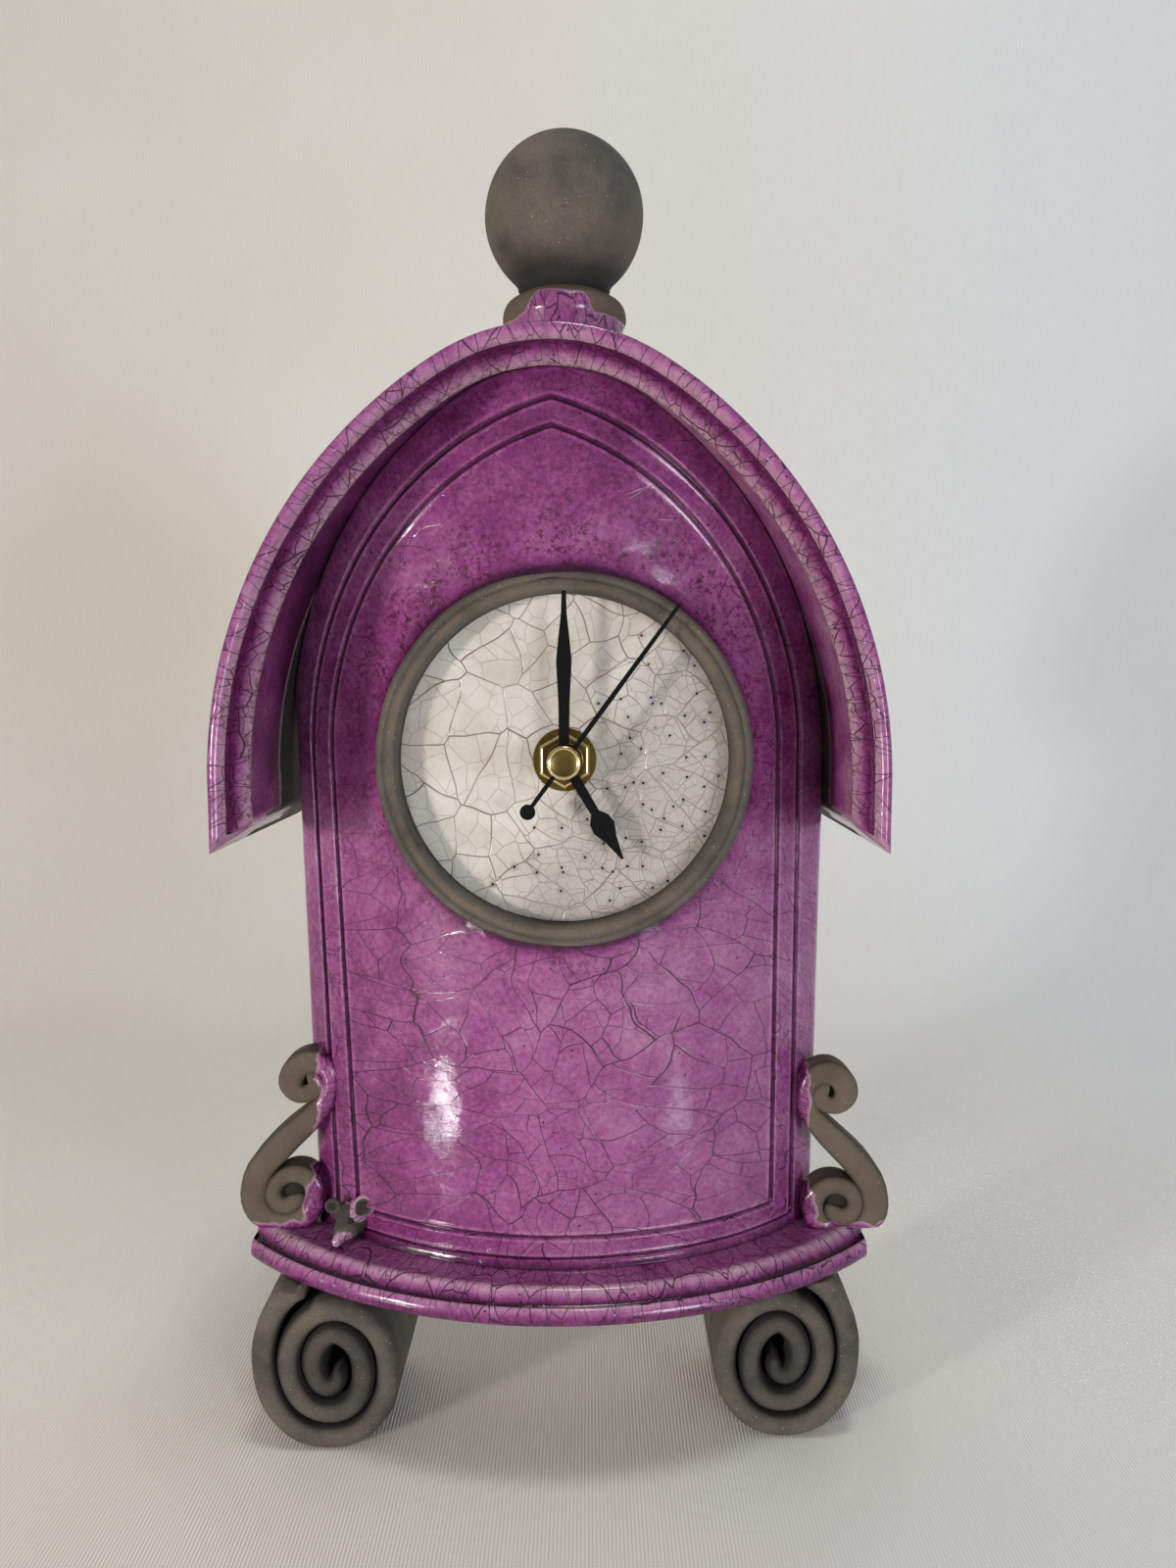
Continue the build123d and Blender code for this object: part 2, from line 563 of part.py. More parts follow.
def make_hand(angle, front, hub, bore, outline):
    right = [(half, out) for out, half in outline]
    left = [(-half, out) for out, half in reversed(outline)]
    flat = face_of(right + left) + Circle(hub)
    if outline[0][0] < 0:
        flat += Pos(0, TAIL_AT) * Circle(TAIL_R)
    flat -= Circle(bore)
    return slab(Pos(AXIS_X, AXIS_Z) * Rot(0, 0, -angle) * flat, front, front + HAND_T)


def make_cap():
    y = SECOND_Y
    body = turned([(0, y), (CAP_R, y), (CAP_R, y - 1.0), (CAP_R - 0.7, y - 1.7), (0, y - 1.7)])
    return body - disc(SECOND_R, y - 0.6, y + 1)


# Put the case together: a piece that is luted on is cut to the face it sits on
hood = make_hood()
hood_left, hood_right = ARCH_X - ARCH_R + ARCH_C, ARCH_X + ARCH_R - ARCH_C
hood_filled = slab(
    arch_face(0, (hood_left, HOOD_END), (hood_right, HOOD_END)), HOOD_FRONT - 5, HOOD_BACK + 5)
base = make_base()
panel = make_panel()
bezel = make_bezel()
nodes = {
    "roof_hood": hood,
    "front_panel": panel,
    "base_ledge": base,
    "left_foot": make_foot(1, LEFT_FOOT_FRONT),
    "right_foot": make_foot(-1, RIGHT_FOOT_FRONT),
    "left_scroll": make_scroll(-1, *LEFT_SCROLL),
    "right_scroll": make_scroll(1, *RIGHT_SCROLL),
    "finial_collar": make_collar(hood_filled),
    "finial_ball": make_ball(),
    "bezel_ring": bezel,
    "dial_disc": tube(DIAL_R, BUSH_R, DIAL_Y, DIAL_Y + DIAL_T),
}
mouse = make_mouse() - panel - base
nodes["mouse_head"] = mouse
for name, ear in zip(("mouse_left_ear", "mouse_right_ear"), MOUSE_EARS):
    nodes[name] = make_ear(*ear) - mouse - panel
nodes.update(build_movement())
nodes.update(build_train())
for name, hand in HANDS.items():
    nodes[name] = make_hand(*hand)
nodes["minute_nut"] = tube(3.0, MINUTE_R, MINUTE_Y - 0.8, MINUTE_Y)
nodes["seconds_cap"] = make_cap()

for name, shape in nodes.items():
    solids = shape.solids()
    size = shape.bounding_box()
    print(f"{name:20s} solids {len(solids)} volume {shape.volume:10.1f}  "
          f"x {size.min.X:7.2f} {size.max.X:7.2f}  y {size.min.Y:7.2f} {size.max.Y:7.2f}  "
          f"z {size.min.Z:7.2f} {size.max.Z:7.2f}")
    shape.label = name
    export_step(shape, f"parts/{name}.step")
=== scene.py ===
import json
from math import acos, asin, atan2, copysign, cos, degrees, exp, hypot, pi, radians, sin, sqrt, tanh

import bpy
import bmesh
from mathutils import Matrix, Vector, noise


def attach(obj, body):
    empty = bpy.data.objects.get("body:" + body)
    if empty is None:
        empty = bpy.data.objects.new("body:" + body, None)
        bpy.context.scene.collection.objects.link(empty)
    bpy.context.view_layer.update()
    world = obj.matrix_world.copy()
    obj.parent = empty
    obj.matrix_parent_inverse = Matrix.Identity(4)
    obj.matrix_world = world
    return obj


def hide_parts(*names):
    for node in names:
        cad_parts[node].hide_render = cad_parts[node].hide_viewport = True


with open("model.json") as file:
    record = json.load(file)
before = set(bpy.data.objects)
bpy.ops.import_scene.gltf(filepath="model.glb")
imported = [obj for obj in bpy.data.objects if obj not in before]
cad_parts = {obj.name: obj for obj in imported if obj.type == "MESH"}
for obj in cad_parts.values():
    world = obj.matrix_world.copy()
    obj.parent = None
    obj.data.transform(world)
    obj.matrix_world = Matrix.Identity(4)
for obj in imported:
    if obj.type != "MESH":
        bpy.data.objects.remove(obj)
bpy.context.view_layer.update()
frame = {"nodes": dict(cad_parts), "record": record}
MM = 0.001

# Sizes in millimetres, as in the solids: X right, Y back, Z up
BOW_Y = 64.0
PANEL_R, PANEL_T = 90.0, 6.0
LEDGE_R, LEDGE_Y, LEDGE_HALF = 115.0, 72.0, 81.8
BASE_BACK, FOOT_TOP, BASE_TOP = 18.0, 42.0, 48.4
AXIS_X, AXIS_Z = 2.0, 176.0
ARCH_X, ARCH_Z, ARCH_R, ARCH_C, APEX_R = -1.0, 172.0, 112.0, 34.0, 48.0
ARCH_RISE = sqrt((ARCH_R - APEX_R) ** 2 - ARCH_C**2)
ARCH_LEAN = degrees(acos(ARCH_C / (ARCH_R - APEX_R)))
HOOD_T, HOOD_FRONT = 5.2, -44.0
HOOD_END, END_BEVEL = 155.7, 6.0
PANEL_FITS, PANEL_LEFT, PANEL_RIGHT = (194.0, 174.0), -66.0, 69.5
DIAL_Y, DIAL_R, DIAL_T = -21.0, 42.0, 5.0
BEZEL_FRONT, BEZEL_IN, BEZEL_OUT = -28.0, 40.2, 46.0
BUSH_R = 4.0


# Small geometry helpers
def polar(centre, radius, angle):
    return (centre[0] + radius * cos(radians(angle)), centre[1] + radius * sin(radians(angle)))


def smooth_line(points, steps):
    """Points on a smooth line through the given tuples, with steps points from one to the next."""
    line = []
    last = len(points) - 1
    for i in range(last):
        p0, p1 = points[max(i - 1, 0)], points[i]
        p2, p3 = points[i + 1], points[min(i + 2, last)]
        for k in range(steps):
            t = k / steps
            line.append(tuple(
                b + 0.5 * t * (c - a + t * (2 * a - 5 * b + 4 * c - d + t * (3 * (b - c) + d - a)))
                for a, b, c, d in zip(p0, p1, p2, p3)))
    line.append(points[last])
    return line


def wobble(x, y, z, size, seed=0.0):
    """Smooth unevenness from -1 to 1, with bumps about as wide as size."""
    return noise.noise(Vector((x / size + seed, y / size - seed, z / size + 2 * seed)))


def blend(a, b, share):
    return a + (b - a) * share


def ease(low, high, value):
    """0 up to low, 1 past high, and smooth between; low may be the larger of the two."""
    t = min(max((value - low) / (high - low), 0.0), 1.0)
    return t * t * (3 - 2 * t)


# What the glaze reads at each point. The pool value: -1 where it is thin, 1 where it pooled, and raised in
# places as painted shade, which also darkens bare clay; bare: 1 where the clay has none; burn: 1 where it
# is burnt and pitted; crack: 1 where cracks show strongly; dull: 1 where it has lost its shine
LAYERS = ("pool_and_shade", "bare", "burn", "crack", "dull")


class Shape:
    """Points in millimetres, faces, and the values that the glaze reads at each point."""

    def __init__(self):
        self.points = []
        self.faces = []
        self.flow = []    # where cracks run: (along, across) in millimetres
        self.layers = {key: [] for key in LAYERS}

    def point(self, place, flow, pool_and_shade=0.0, bare=0.0, burn=0.0, crack=1.0, dull=0.0):
        self.points.append(place)
        self.flow.append((flow[0], flow[1], 0.0))
        for values, value in zip(self.layers.values(), (pool_and_shade, bare, burn, crack, dull)):
            values.append(value)
        return len(self.points) - 1

    def skin(self, rows, wrap_rows=False):
        """Quads between rings of point numbers."""
        count = len(rows[0])
        pairs = list(zip(rows, rows[1:]))
        if wrap_rows:
            pairs.append((rows[-1], rows[0]))
        for low, high in pairs:
            for k in range(count):
                n = (k + 1) % count
                self.faces.append((low[k], low[n], high[n], high[k]))

    def cap(self, row):
        """Close a ring with a fan about a point in its middle."""
        mean = [sum(self.points[i][k] for i in row) / len(row) for k in range(3)]
        flow = [sum(self.flow[i][k] for i in row) / len(row) for k in range(2)]
        pool_and_shade, bare = (self.layers[key][row[0]] for key in ("pool_and_shade", "bare"))
        centre = self.point(tuple(mean), flow, pool_and_shade, bare)
        for k in range(len(row)):
            self.faces.append((row[k], row[(k + 1) % len(row)], centre))

    def tube(self, rows):
        """A skin over the rings, closed at both ends."""
        self.skin(rows)
        self.cap(rows[0])
        self.cap(rows[-1])

    def dress(self, mesh):
        """Give the mesh the values that the glaze reads."""
        flow = mesh.attributes.new("flow", "FLOAT_VECTOR", "POINT")
        flow.data.foreach_set("vector", [c for v in self.flow for c in v])
        for key, values in self.layers.items():
            mesh.attributes.new(key, "FLOAT", "POINT").data.foreach_set("value", values)

    def finish(self, name, material, body, slot, *nodes):
        """Make the piece; it rides on the body and stands in for the solids named."""
        mesh = bpy.data.meshes.new(name)
        mesh.from_pydata([tuple(c * MM for c in p) for p in self.points], [], self.faces)
        self.dress(mesh)
        own = bmesh.new()
        own.from_mesh(mesh)
        bmesh.ops.recalc_face_normals(own, faces=own.faces)
        own.to_mesh(mesh)
        own.free()
        mesh.shade_smooth()
        return place_piece(bpy.data.objects.new(name, mesh), material, body, slot, *nodes)


def place_piece(obj, material, body, slot, *nodes):
    bpy.context.scene.collection.objects.link(obj)
    obj.data.materials.clear()
    obj.data.materials.append(material)
    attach(obj, body)
    if nodes:
        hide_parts(*nodes)
    return obj


# Node helpers
def srgb(r, g, b):
    """Linear colour from 0 to 255 screen values."""
    def linear(c):
        c /= 255
        return c / 12.92 if c <= 0.04045 else ((c + 0.055) / 1.055) ** 2.4
    return (linear(r), linear(g), linear(b), 1.0)


CELL_JUMP = 61.0    # how far apart two cells of a crackle take their finer cracks from


class Nodes:
    """A material's node tree, with short ways to add nodes to it."""

    def __init__(self, name):
        self.material = bpy.data.materials.new(name)
        self.material.use_nodes = True
        self.tree = self.material.node_tree
        self.shader = self.tree.nodes["Principled BSDF"]

    def add(self, kind, inputs=None, **settings):
        made = self.tree.nodes.new(kind)
        for key, value in settings.items():
            setattr(made, key, value)
        for key, value in (inputs or {}).items():
            self.put(made.inputs[key], value)
        return made

    def put(self, socket, value):
        if isinstance(value, bpy.types.NodeSocket):
            self.tree.links.new(value, socket)
        else:
            socket.default_value = value

    def set(self, **values):
        """Set the shader's sockets; an underscore stands for a space."""
        for key, value in values.items():
            self.put(self.shader.inputs[key.replace("_", " ")], value)

    def math(self, operation, a, b=0.5, c=0.5):
        return self.add("ShaderNodeMath", {0: a, 1: b, 2: c}, operation=operation).outputs[0]

    def spread(self, value, low, high, to_low=0.0, to_high=1.0):
        inputs = {0: value, 1: low, 2: high, 3: to_low, 4: to_high}
        return self.add("ShaderNodeMapRange", inputs, interpolation_type="SMOOTHSTEP").outputs[0]

    def attribute(self, name):
        return self.add("ShaderNodeAttribute", attribute_name=name)

    def place(self):
        """Object coordinates in millimetres."""
        where = self.add("ShaderNodeTexCoord").outputs["Object"]
        return self.scaled(where, 1 / MM)

    def scaled(self, vector, factor):
        inputs = {0: vector, "Scale": factor}
        return self.add("ShaderNodeVectorMath", inputs, operation="SCALE").outputs[0]

    def shifted(self, vector, offset):
        return self.add("ShaderNodeVectorMath", {0: vector, 1: offset}, operation="ADD").outputs[0]

    def cloud(self, vector, size, detail=3.0, rough=0.5, color=False):
        inputs = {"Vector": vector, "Scale": 1 / size, "Detail": detail, "Roughness": rough}
        return self.add("ShaderNodeTexNoise", inputs).outputs[1 if color else 0]

    def cells(self, vector, size, feature="F1", flat=True):
        inputs = {"Vector": vector, "Scale": 1 / size}
        dims = "2D" if flat else "3D"
        return self.add("ShaderNodeTexVoronoi", inputs, feature=feature, voronoi_dimensions=dims)

    def mix(self, share, a, b):
        made = self.add("ShaderNodeMix", data_type="RGBA")
        self.put(made.inputs[0], share)
        self.put(made.inputs[6], a)
        self.put(made.inputs[7], b)
        return made.outputs[2]

    def ramp(self, value, stops):
        made = self.add("ShaderNodeValToRGB", {0: value})
        points = made.color_ramp.elements
        points[0].position, points[0].color = stops[0]
        points[1].position, points[1].color = stops[-1]
        for position, color in stops[1:-1]:
            points.new(position).color = color
        return made.outputs[0]

    def bump(self, height, depth, below=None):
        """Raise the surface by a height of 0 to 1 times a depth in millimetres."""
        inputs = {"Height": height, "Distance": depth * MM, "Strength": 1.0}
        if below is not None:
            inputs["Normal"] = below
        return self.add("ShaderNodeBump", inputs).outputs[0]

    def crackle(self, flow, cell, width, warp, shares):
        """Lines from 0 to 1, a set for each share of the cell; finer cracks stop at wider ones."""
        bent = flow
        for size, reach in ((cell * 2.2, warp), (cell * 0.6, warp * 0.09)):
            drift = self.cloud(flow, size, 1.5, 0.5, color=True)
            bent = self.shifted(bent, self.scaled(self.shifted(drift, (-0.5, -0.5, -0.5)), reach))
        lines = []
        for share in shares:
            size = cell * share
            edge = self.cells(bent, size, "DISTANCE_TO_EDGE").outputs["Distance"]
            thin = width * (0.7 + 0.3 * share) / size
            lines.append(self.spread(edge, 0.2 * thin, thin, 1.0, 0.0))
            own = self.cells(bent, size).outputs["Color"]
            bent = self.shifted(bent, self.scaled(own, CELL_JUMP))
        return lines


# Materials
def clay_look(nodes, place):
    """Smoked bare clay: colour and the height of its grain."""
    broad = nodes.cloud(place, 14.0, 3.0, 0.6)
    tint = nodes.ramp(broad, [
        (0.30, srgb(74, 69, 64)), (0.5, srgb(104, 97, 89)), (0.72, srgb(122, 110, 96))])
    grain = nodes.cloud(place, 0.55, 4.0, 0.7)
    tint = nodes.mix(nodes.spread(grain, 0.35, 0.7, 0.35, 0.0), tint, srgb(52, 48, 45))
    specks = nodes.cells(place, 1.5, flat=False)
    lit = nodes.spread(specks.outputs["Distance"], 0.06, 0.12, 1.0, 0.0)
    chosen = nodes.spread(nodes.cloud(place, 5.0, 1.0), 0.44, 0.6)
    tint = nodes.mix(nodes.math("MULTIPLY", lit, chosen), tint, srgb(190, 182, 170))
    return tint, grain


def make_ceramic(name, cell, width, warp, warm=0.0):
    """Purple crackle glaze over smoked clay; the shape's own values say where each shows."""
    nodes = Nodes(name)
    place = nodes.place()
    flow = nodes.attribute("flow").outputs["Vector"]
    pool_and_shade, bare, burn, crack, dull = (nodes.attribute(key).outputs["Fac"] for key in LAYERS)

    mottle = nodes.cloud(place, 11.0, 5.0, 0.62)
    streak = nodes.cloud(place, 1.3, 4.0, 0.72)
    depth = nodes.math("MULTIPLY_ADD", nodes.math("SUBTRACT", mottle, 0.5), 1.0, pool_and_shade)
    depth = nodes.math("MULTIPLY_ADD", nodes.math("SUBTRACT", streak, 0.5), 1.05, depth)
    glaze = nodes.ramp(nodes.spread(depth, -1.3, 1.3), [
        (0.0, srgb(200, 170, 180)), (0.2, srgb(186, 138, 168)), (0.45, srgb(162, 94, 146)),
        (0.62, srgb(138, 62, 122)), (0.82, srgb(92, 29, 80)), (1.0, srgb(46, 10, 40))])

    thinned = nodes.spread(depth, -0.35, -0.8)
    dirt = nodes.math("MULTIPLY", thinned, nodes.spread(streak, 0.5, 0.62, 0.0, 0.8))
    glaze = nodes.mix(dirt, glaze, srgb(138, 108, 98))

    wide, middle, thin = nodes.crackle(flow, cell, width, warp, (1.0, 0.52, 0.24))
    spread = nodes.cloud(flow, cell * 2.6, 2.0)
    wide = nodes.math("MULTIPLY", wide, nodes.spread(spread, 0.3, 0.5, 0.7, 0.95))
    middle = nodes.math("MULTIPLY", middle, nodes.spread(spread, 0.32, 0.5, 0.4, 0.9))
    thin = nodes.math("MULTIPLY", thin, nodes.spread(spread, 0.44, 0.62, 0.0, 0.6))
    cracks = nodes.math("MAXIMUM", wide, nodes.math("MAXIMUM", middle, thin))
    cracks = nodes.math("MULTIPLY", cracks, crack)
    glaze = nodes.mix(cracks, glaze, srgb(44, 20, 40))

    grit = nodes.spread(nodes.cloud(place, 1.7, 5.0, 0.8), 0.51, 0.59)
    patch = nodes.spread(nodes.cloud(place, 8.0, 2.0), 0.38, 0.52)
    specks = nodes.math("MULTIPLY", nodes.math("MULTIPLY", grit, patch), burn)
    glaze = nodes.mix(nodes.math("MULTIPLY", specks, 0.85), glaze, srgb(70, 24, 32))
    pits = nodes.cells(place, 4.3, flat=False)
    pit = nodes.spread(pits.outputs["Distance"], 0.05, 0.085, 1.0, 0.0)
    glaze = nodes.mix(nodes.math("MULTIPLY", pit, 0.9), glaze, srgb(40, 14, 26))

    clay_tint, grain = clay_look(nodes, place)
    clay_tint = nodes.mix(warm, clay_tint, srgb(114, 92, 70))
    # Bare clay darkens where the pool value is high: painted shade in hollows and crevices
    clay_tint = nodes.mix(nodes.spread(pool_and_shade, 0.15, 0.9, 0.0, 0.88), clay_tint, srgb(24, 20, 20))
    ragged = nodes.math("MULTIPLY_ADD", nodes.math("SUBTRACT", streak, 0.5), 0.5, bare)
    raw = nodes.spread(ragged, 0.42, 0.58)
    rim = nodes.spread(ragged, 0.2, 0.5)
    glaze = nodes.mix(nodes.math("MULTIPLY", rim, 0.75), glaze, srgb(190, 150, 168))
    nodes.set(Base_Color=nodes.mix(raw, glaze, clay_tint))
    rough = nodes.math("MULTIPLY_ADD", dull, 0.4, 0.08)
    nodes.set(Roughness=nodes.math("MAXIMUM", rough, nodes.math("MULTIPLY", raw, 0.85)))
    wave = nodes.cloud(place, 7.0, 2.0, 0.45)
    height = nodes.bump(wave, 0.22)
    dips = nodes.math("MAXIMUM", cracks, pit)
    height = nodes.bump(nodes.math("SUBTRACT", 1.0, dips), 0.02, height)
    fine_grain = nodes.math("MULTIPLY", grain, nodes.spread(raw, 0.0, 1.0, 0.12, 1.0))
    nodes.set(Normal=nodes.bump(fine_grain, 0.22, height))
    return nodes.material


def make_clay(name):
    """Smoked clay, darker as painted shade in its hollows where the pool value is high, and tanned with
    wear on ridges.
    """
    nodes = Nodes(name)
    place = nodes.place()
    pool_and_shade = nodes.attribute("pool_and_shade").outputs["Fac"]
    tint, grain = clay_look(nodes, place)
    # Painted shade where the pool value is high
    tint = nodes.mix(nodes.spread(pool_and_shade, 0.15, 0.9, 0.0, 0.92), tint, srgb(20, 17, 16))
    worn = nodes.spread(nodes.cloud(place, 11.0), 0.42, 0.62, 0.0, 0.6)
    tan = nodes.math("MULTIPLY", nodes.spread(pool_and_shade, -0.1, -0.9), worn)
    tint = nodes.mix(tan, tint, srgb(140, 112, 80))
    nodes.set(Base_Color=tint, Roughness=0.82)
    dents = nodes.cloud(place, 3.5, 3.0, 0.55)
    nodes.set(Normal=nodes.bump(grain, 0.25, nodes.bump(dents, 0.35)))
    return nodes.material


def make_dial():
    """White crackle glaze: wide cells at the upper left, close ones and pinholes elsewhere."""
    nodes = Nodes("white_crackle")
    place = nodes.place()
    flow = nodes.attribute("flow").outputs["Vector"]
    close = nodes.attribute("burn").outputs["Fac"]
    cloudy = nodes.cloud(place, 12.0, 4.0, 0.6)
    glaze = nodes.ramp(cloudy, [
        (0.3, srgb(206, 196, 184)), (0.5, srgb(222, 215, 206)), (0.7, srgb(231, 227, 221))])
    wide, middle, thin = nodes.crackle(flow, 11.0, 0.24, 11.0, (1.0, 0.5, 0.26))
    middle = nodes.math("MULTIPLY", middle, nodes.spread(close, 0.0, 0.6, 0.4, 0.85))
    thin = nodes.math("MULTIPLY", thin, nodes.spread(close, 0.3, 0.9, 0.08, 0.6))
    cracks = nodes.math("MAXIMUM", wide, nodes.math("MAXIMUM", middle, thin))
    strength = nodes.spread(nodes.cloud(flow, 15.0, 2.0), 0.3, 0.7, 0.6, 0.95)
    glaze = nodes.mix(nodes.math("MULTIPLY", cracks, strength), glaze, srgb(104, 84, 76))
    holes = nodes.cells(flow, 5.2)
    spot = holes.outputs["Distance"]
    some = nodes.add("ShaderNodeSeparateColor", {0: holes.outputs["Color"]}).outputs[0]
    chosen = nodes.spread(nodes.math("SUBTRACT", close, some), 0.2, 0.28)
    hole = nodes.math("MULTIPLY", nodes.spread(spot, 0.04, 0.08, 1.0, 0.0), chosen)
    smoke = nodes.math("MULTIPLY", nodes.spread(spot, 0.04, 0.3, 0.45, 0.0), chosen)
    smoke = nodes.math("MULTIPLY", smoke, nodes.spread(cloudy, 0.35, 0.6, 1.0, 0.4))
    glaze = nodes.mix(smoke, glaze, srgb(92, 84, 88))
    glaze = nodes.mix(nodes.spread(close, 0.3, 1.0, 0.0, 0.5), glaze, srgb(154, 147, 146))
    glaze = nodes.mix(hole, glaze, srgb(26, 20, 20))
    nodes.set(Base_Color=glaze, Roughness=0.16)
    height = nodes.bump(nodes.cloud(place, 6.0, 2.0), 0.3)
    dips = nodes.math("MAXIMUM", hole, nodes.math("MULTIPLY", cracks, 0.3))
    nodes.set(Normal=nodes.bump(nodes.math("SUBTRACT", 1.0, dips), 0.18, height))
    return nodes.material


def make_metal(name, color, rough, metallic=1.0, scratch=0.006):
    """Worn metal: its roughness and tone vary over the surface."""
    nodes = Nodes(name)
    place = nodes.place()
    fine = nodes.cloud(place, 0.8, 4.0, 0.7)
    broad = nodes.cloud(place, 5.0, 3.0)
    darker = tuple(c * 0.72 for c in color[:3]) + (1.0,)
    nodes.set(Base_Color=nodes.mix(nodes.spread(broad, 0.3, 0.7), color, darker), Metallic=metallic)
    nodes.set(Roughness=nodes.spread(fine, 0.2, 0.8, rough * 0.75, rough * 1.3))
    nodes.set(Normal=nodes.bump(fine, scratch))
    if not metallic:
        nodes.set(Specular_IOR_Level=0.15)
    return nodes.material


def make_brass():
    """Tarnished brass, paler on its chamfers from the shape's pool value: rubbed wear and a painted
    highlight.
    """
    nodes = Nodes("rubbed_glint_brass")
    place = nodes.place()
    # Painted highlight and rubbed wear: the chamfers get pale, smoother brass
    rubbed_and_glint = nodes.spread(nodes.attribute("pool_and_shade").outputs["Fac"], 0.1, -0.7)
    stain = nodes.cloud(place, 3.0, 3.0)
    dull = nodes.mix(stain, srgb(124, 106, 60), srgb(92, 78, 44))
    nodes.set(Base_Color=nodes.mix(rubbed_and_glint, dull, srgb(252, 228, 168)), Metallic=1.0)
    nodes.set(Roughness=nodes.spread(rubbed_and_glint, 0.0, 1.0, 0.36, 0.14))
    nodes.set(Normal=nodes.bump(nodes.cloud(place, 0.8, 4.0, 0.7), 0.006))
    return nodes.material


def make_plastic(name, color, rough, grain=0.04):
    """Moulded plastic or rubber with a fine grain."""
    nodes = Nodes(name)
    place = nodes.place()
    fine = nodes.cloud(place, 0.45, 3.0, 0.6)
    broad = nodes.cloud(place, 9.0, 2.0)
    paler = tuple(min(c * 1.25 + 0.004, 1.0) for c in color[:3]) + (1.0,)
    nodes.set(Base_Color=nodes.mix(broad, color, paler))
    nodes.set(Roughness=nodes.spread(fine, 0.2, 0.8, rough * 0.9, rough * 1.1))
    nodes.set(Normal=nodes.bump(fine, grain))
    return nodes.material


panel_glaze = make_ceramic("panel_glaze", 15.0, 0.18, 26.0)
strip_glaze = make_ceramic("strip_glaze", 7.6, 0.18, 8.0)
scroll_clay = make_ceramic("scroll_clay", 6.0, 0.18, 6.0, 0.4)
clay = make_clay("smoked_clay")
dial_glaze = make_dial()
rubbed_glint_brass = make_brass()


# Hood, as a section of (depth behind the lip, thickness in from the outer skin, pool value; deep inside it
# is painted shade)
OUTER_GLAZE, INNER_GLAZE, END_GLAZE = (72, 86), (42, 50), (20, 40)   # depths over which the glaze stops
LIP = ((2.4, 0.0, 0.1), (0.7, 0.35, 0.1), (0.0, 1.7, -0.1), (0.9, 3.1, -0.35), (2.7, 3.65, -0.95),
       (4.3, 3.15, -0.2), (6.5, 2.9, 0.45), (8.5, 3.2, 0.5), (10.2, 4.0, 0.3), (12.2, 5.7, -0.5),
       (13.6, 6.3, -1.0), (14.8, 6.35, -1.0), (16.0, 5.75, -0.4), (18.0, 5.2, 0.15))
# Inside, the pool value rises with depth as painted shade towards the panel
INSIDE = ((18.0, 5.2, 0.15), (24.0, 5.2, 0.2), (34.0, 5.2, 0.35), (50.0, 5.2, 1.0), (86.4, 5.2, 0.6),
          (87.6, 4.8, 0.0), (88.0, 3.8, 0.0), (88.0, 1.4, 0.0), (87.6, 0.4, 0.0), (86.4, 0.0, 0.0),
          (60.0, 0.0, 0.0), (30.0, 0.0, 0.0), (6.0, 0.0, 0.05))


def hood_section():
    """The section's points once round the strip."""
    section = smooth_line(LIP, 4)[:-1]
    for a, b in zip(INSIDE, INSIDE[1:]):
        steps = max(1, round(hypot(b[0] - a[0], b[1] - a[1]) / 4.0))
        section.extend(tuple(blend(p, q, k / steps) for p, q in zip(a, b)) for k in range(steps))
    section.append(INSIDE[-1])
    return section


def hood_stations():
    """(kind, value) from the right end up to the point: heights, then angles of the two bends."""
    stations = [("side", k / 10) for k in range(10)]
    stations += [("arch", ARCH_LEAN * k / 60) for k in range(60)]
    stations += [("point", ARCH_LEAN + (90 - ARCH_LEAN) * k / 16) for k in range(17)]
    return stations


def hood_place(kind, value, thick):
    if kind == "side":
        low = HOOD_END + thick * END_BEVEL / HOOD_T
        return ARCH_R - ARCH_C - thick, blend(low, ARCH_Z, value)
    if kind == "arch":
        return polar((-ARCH_C, ARCH_Z), ARCH_R - thick, value)
    return polar((0, ARCH_Z + ARCH_RISE), APEX_R - thick, value)


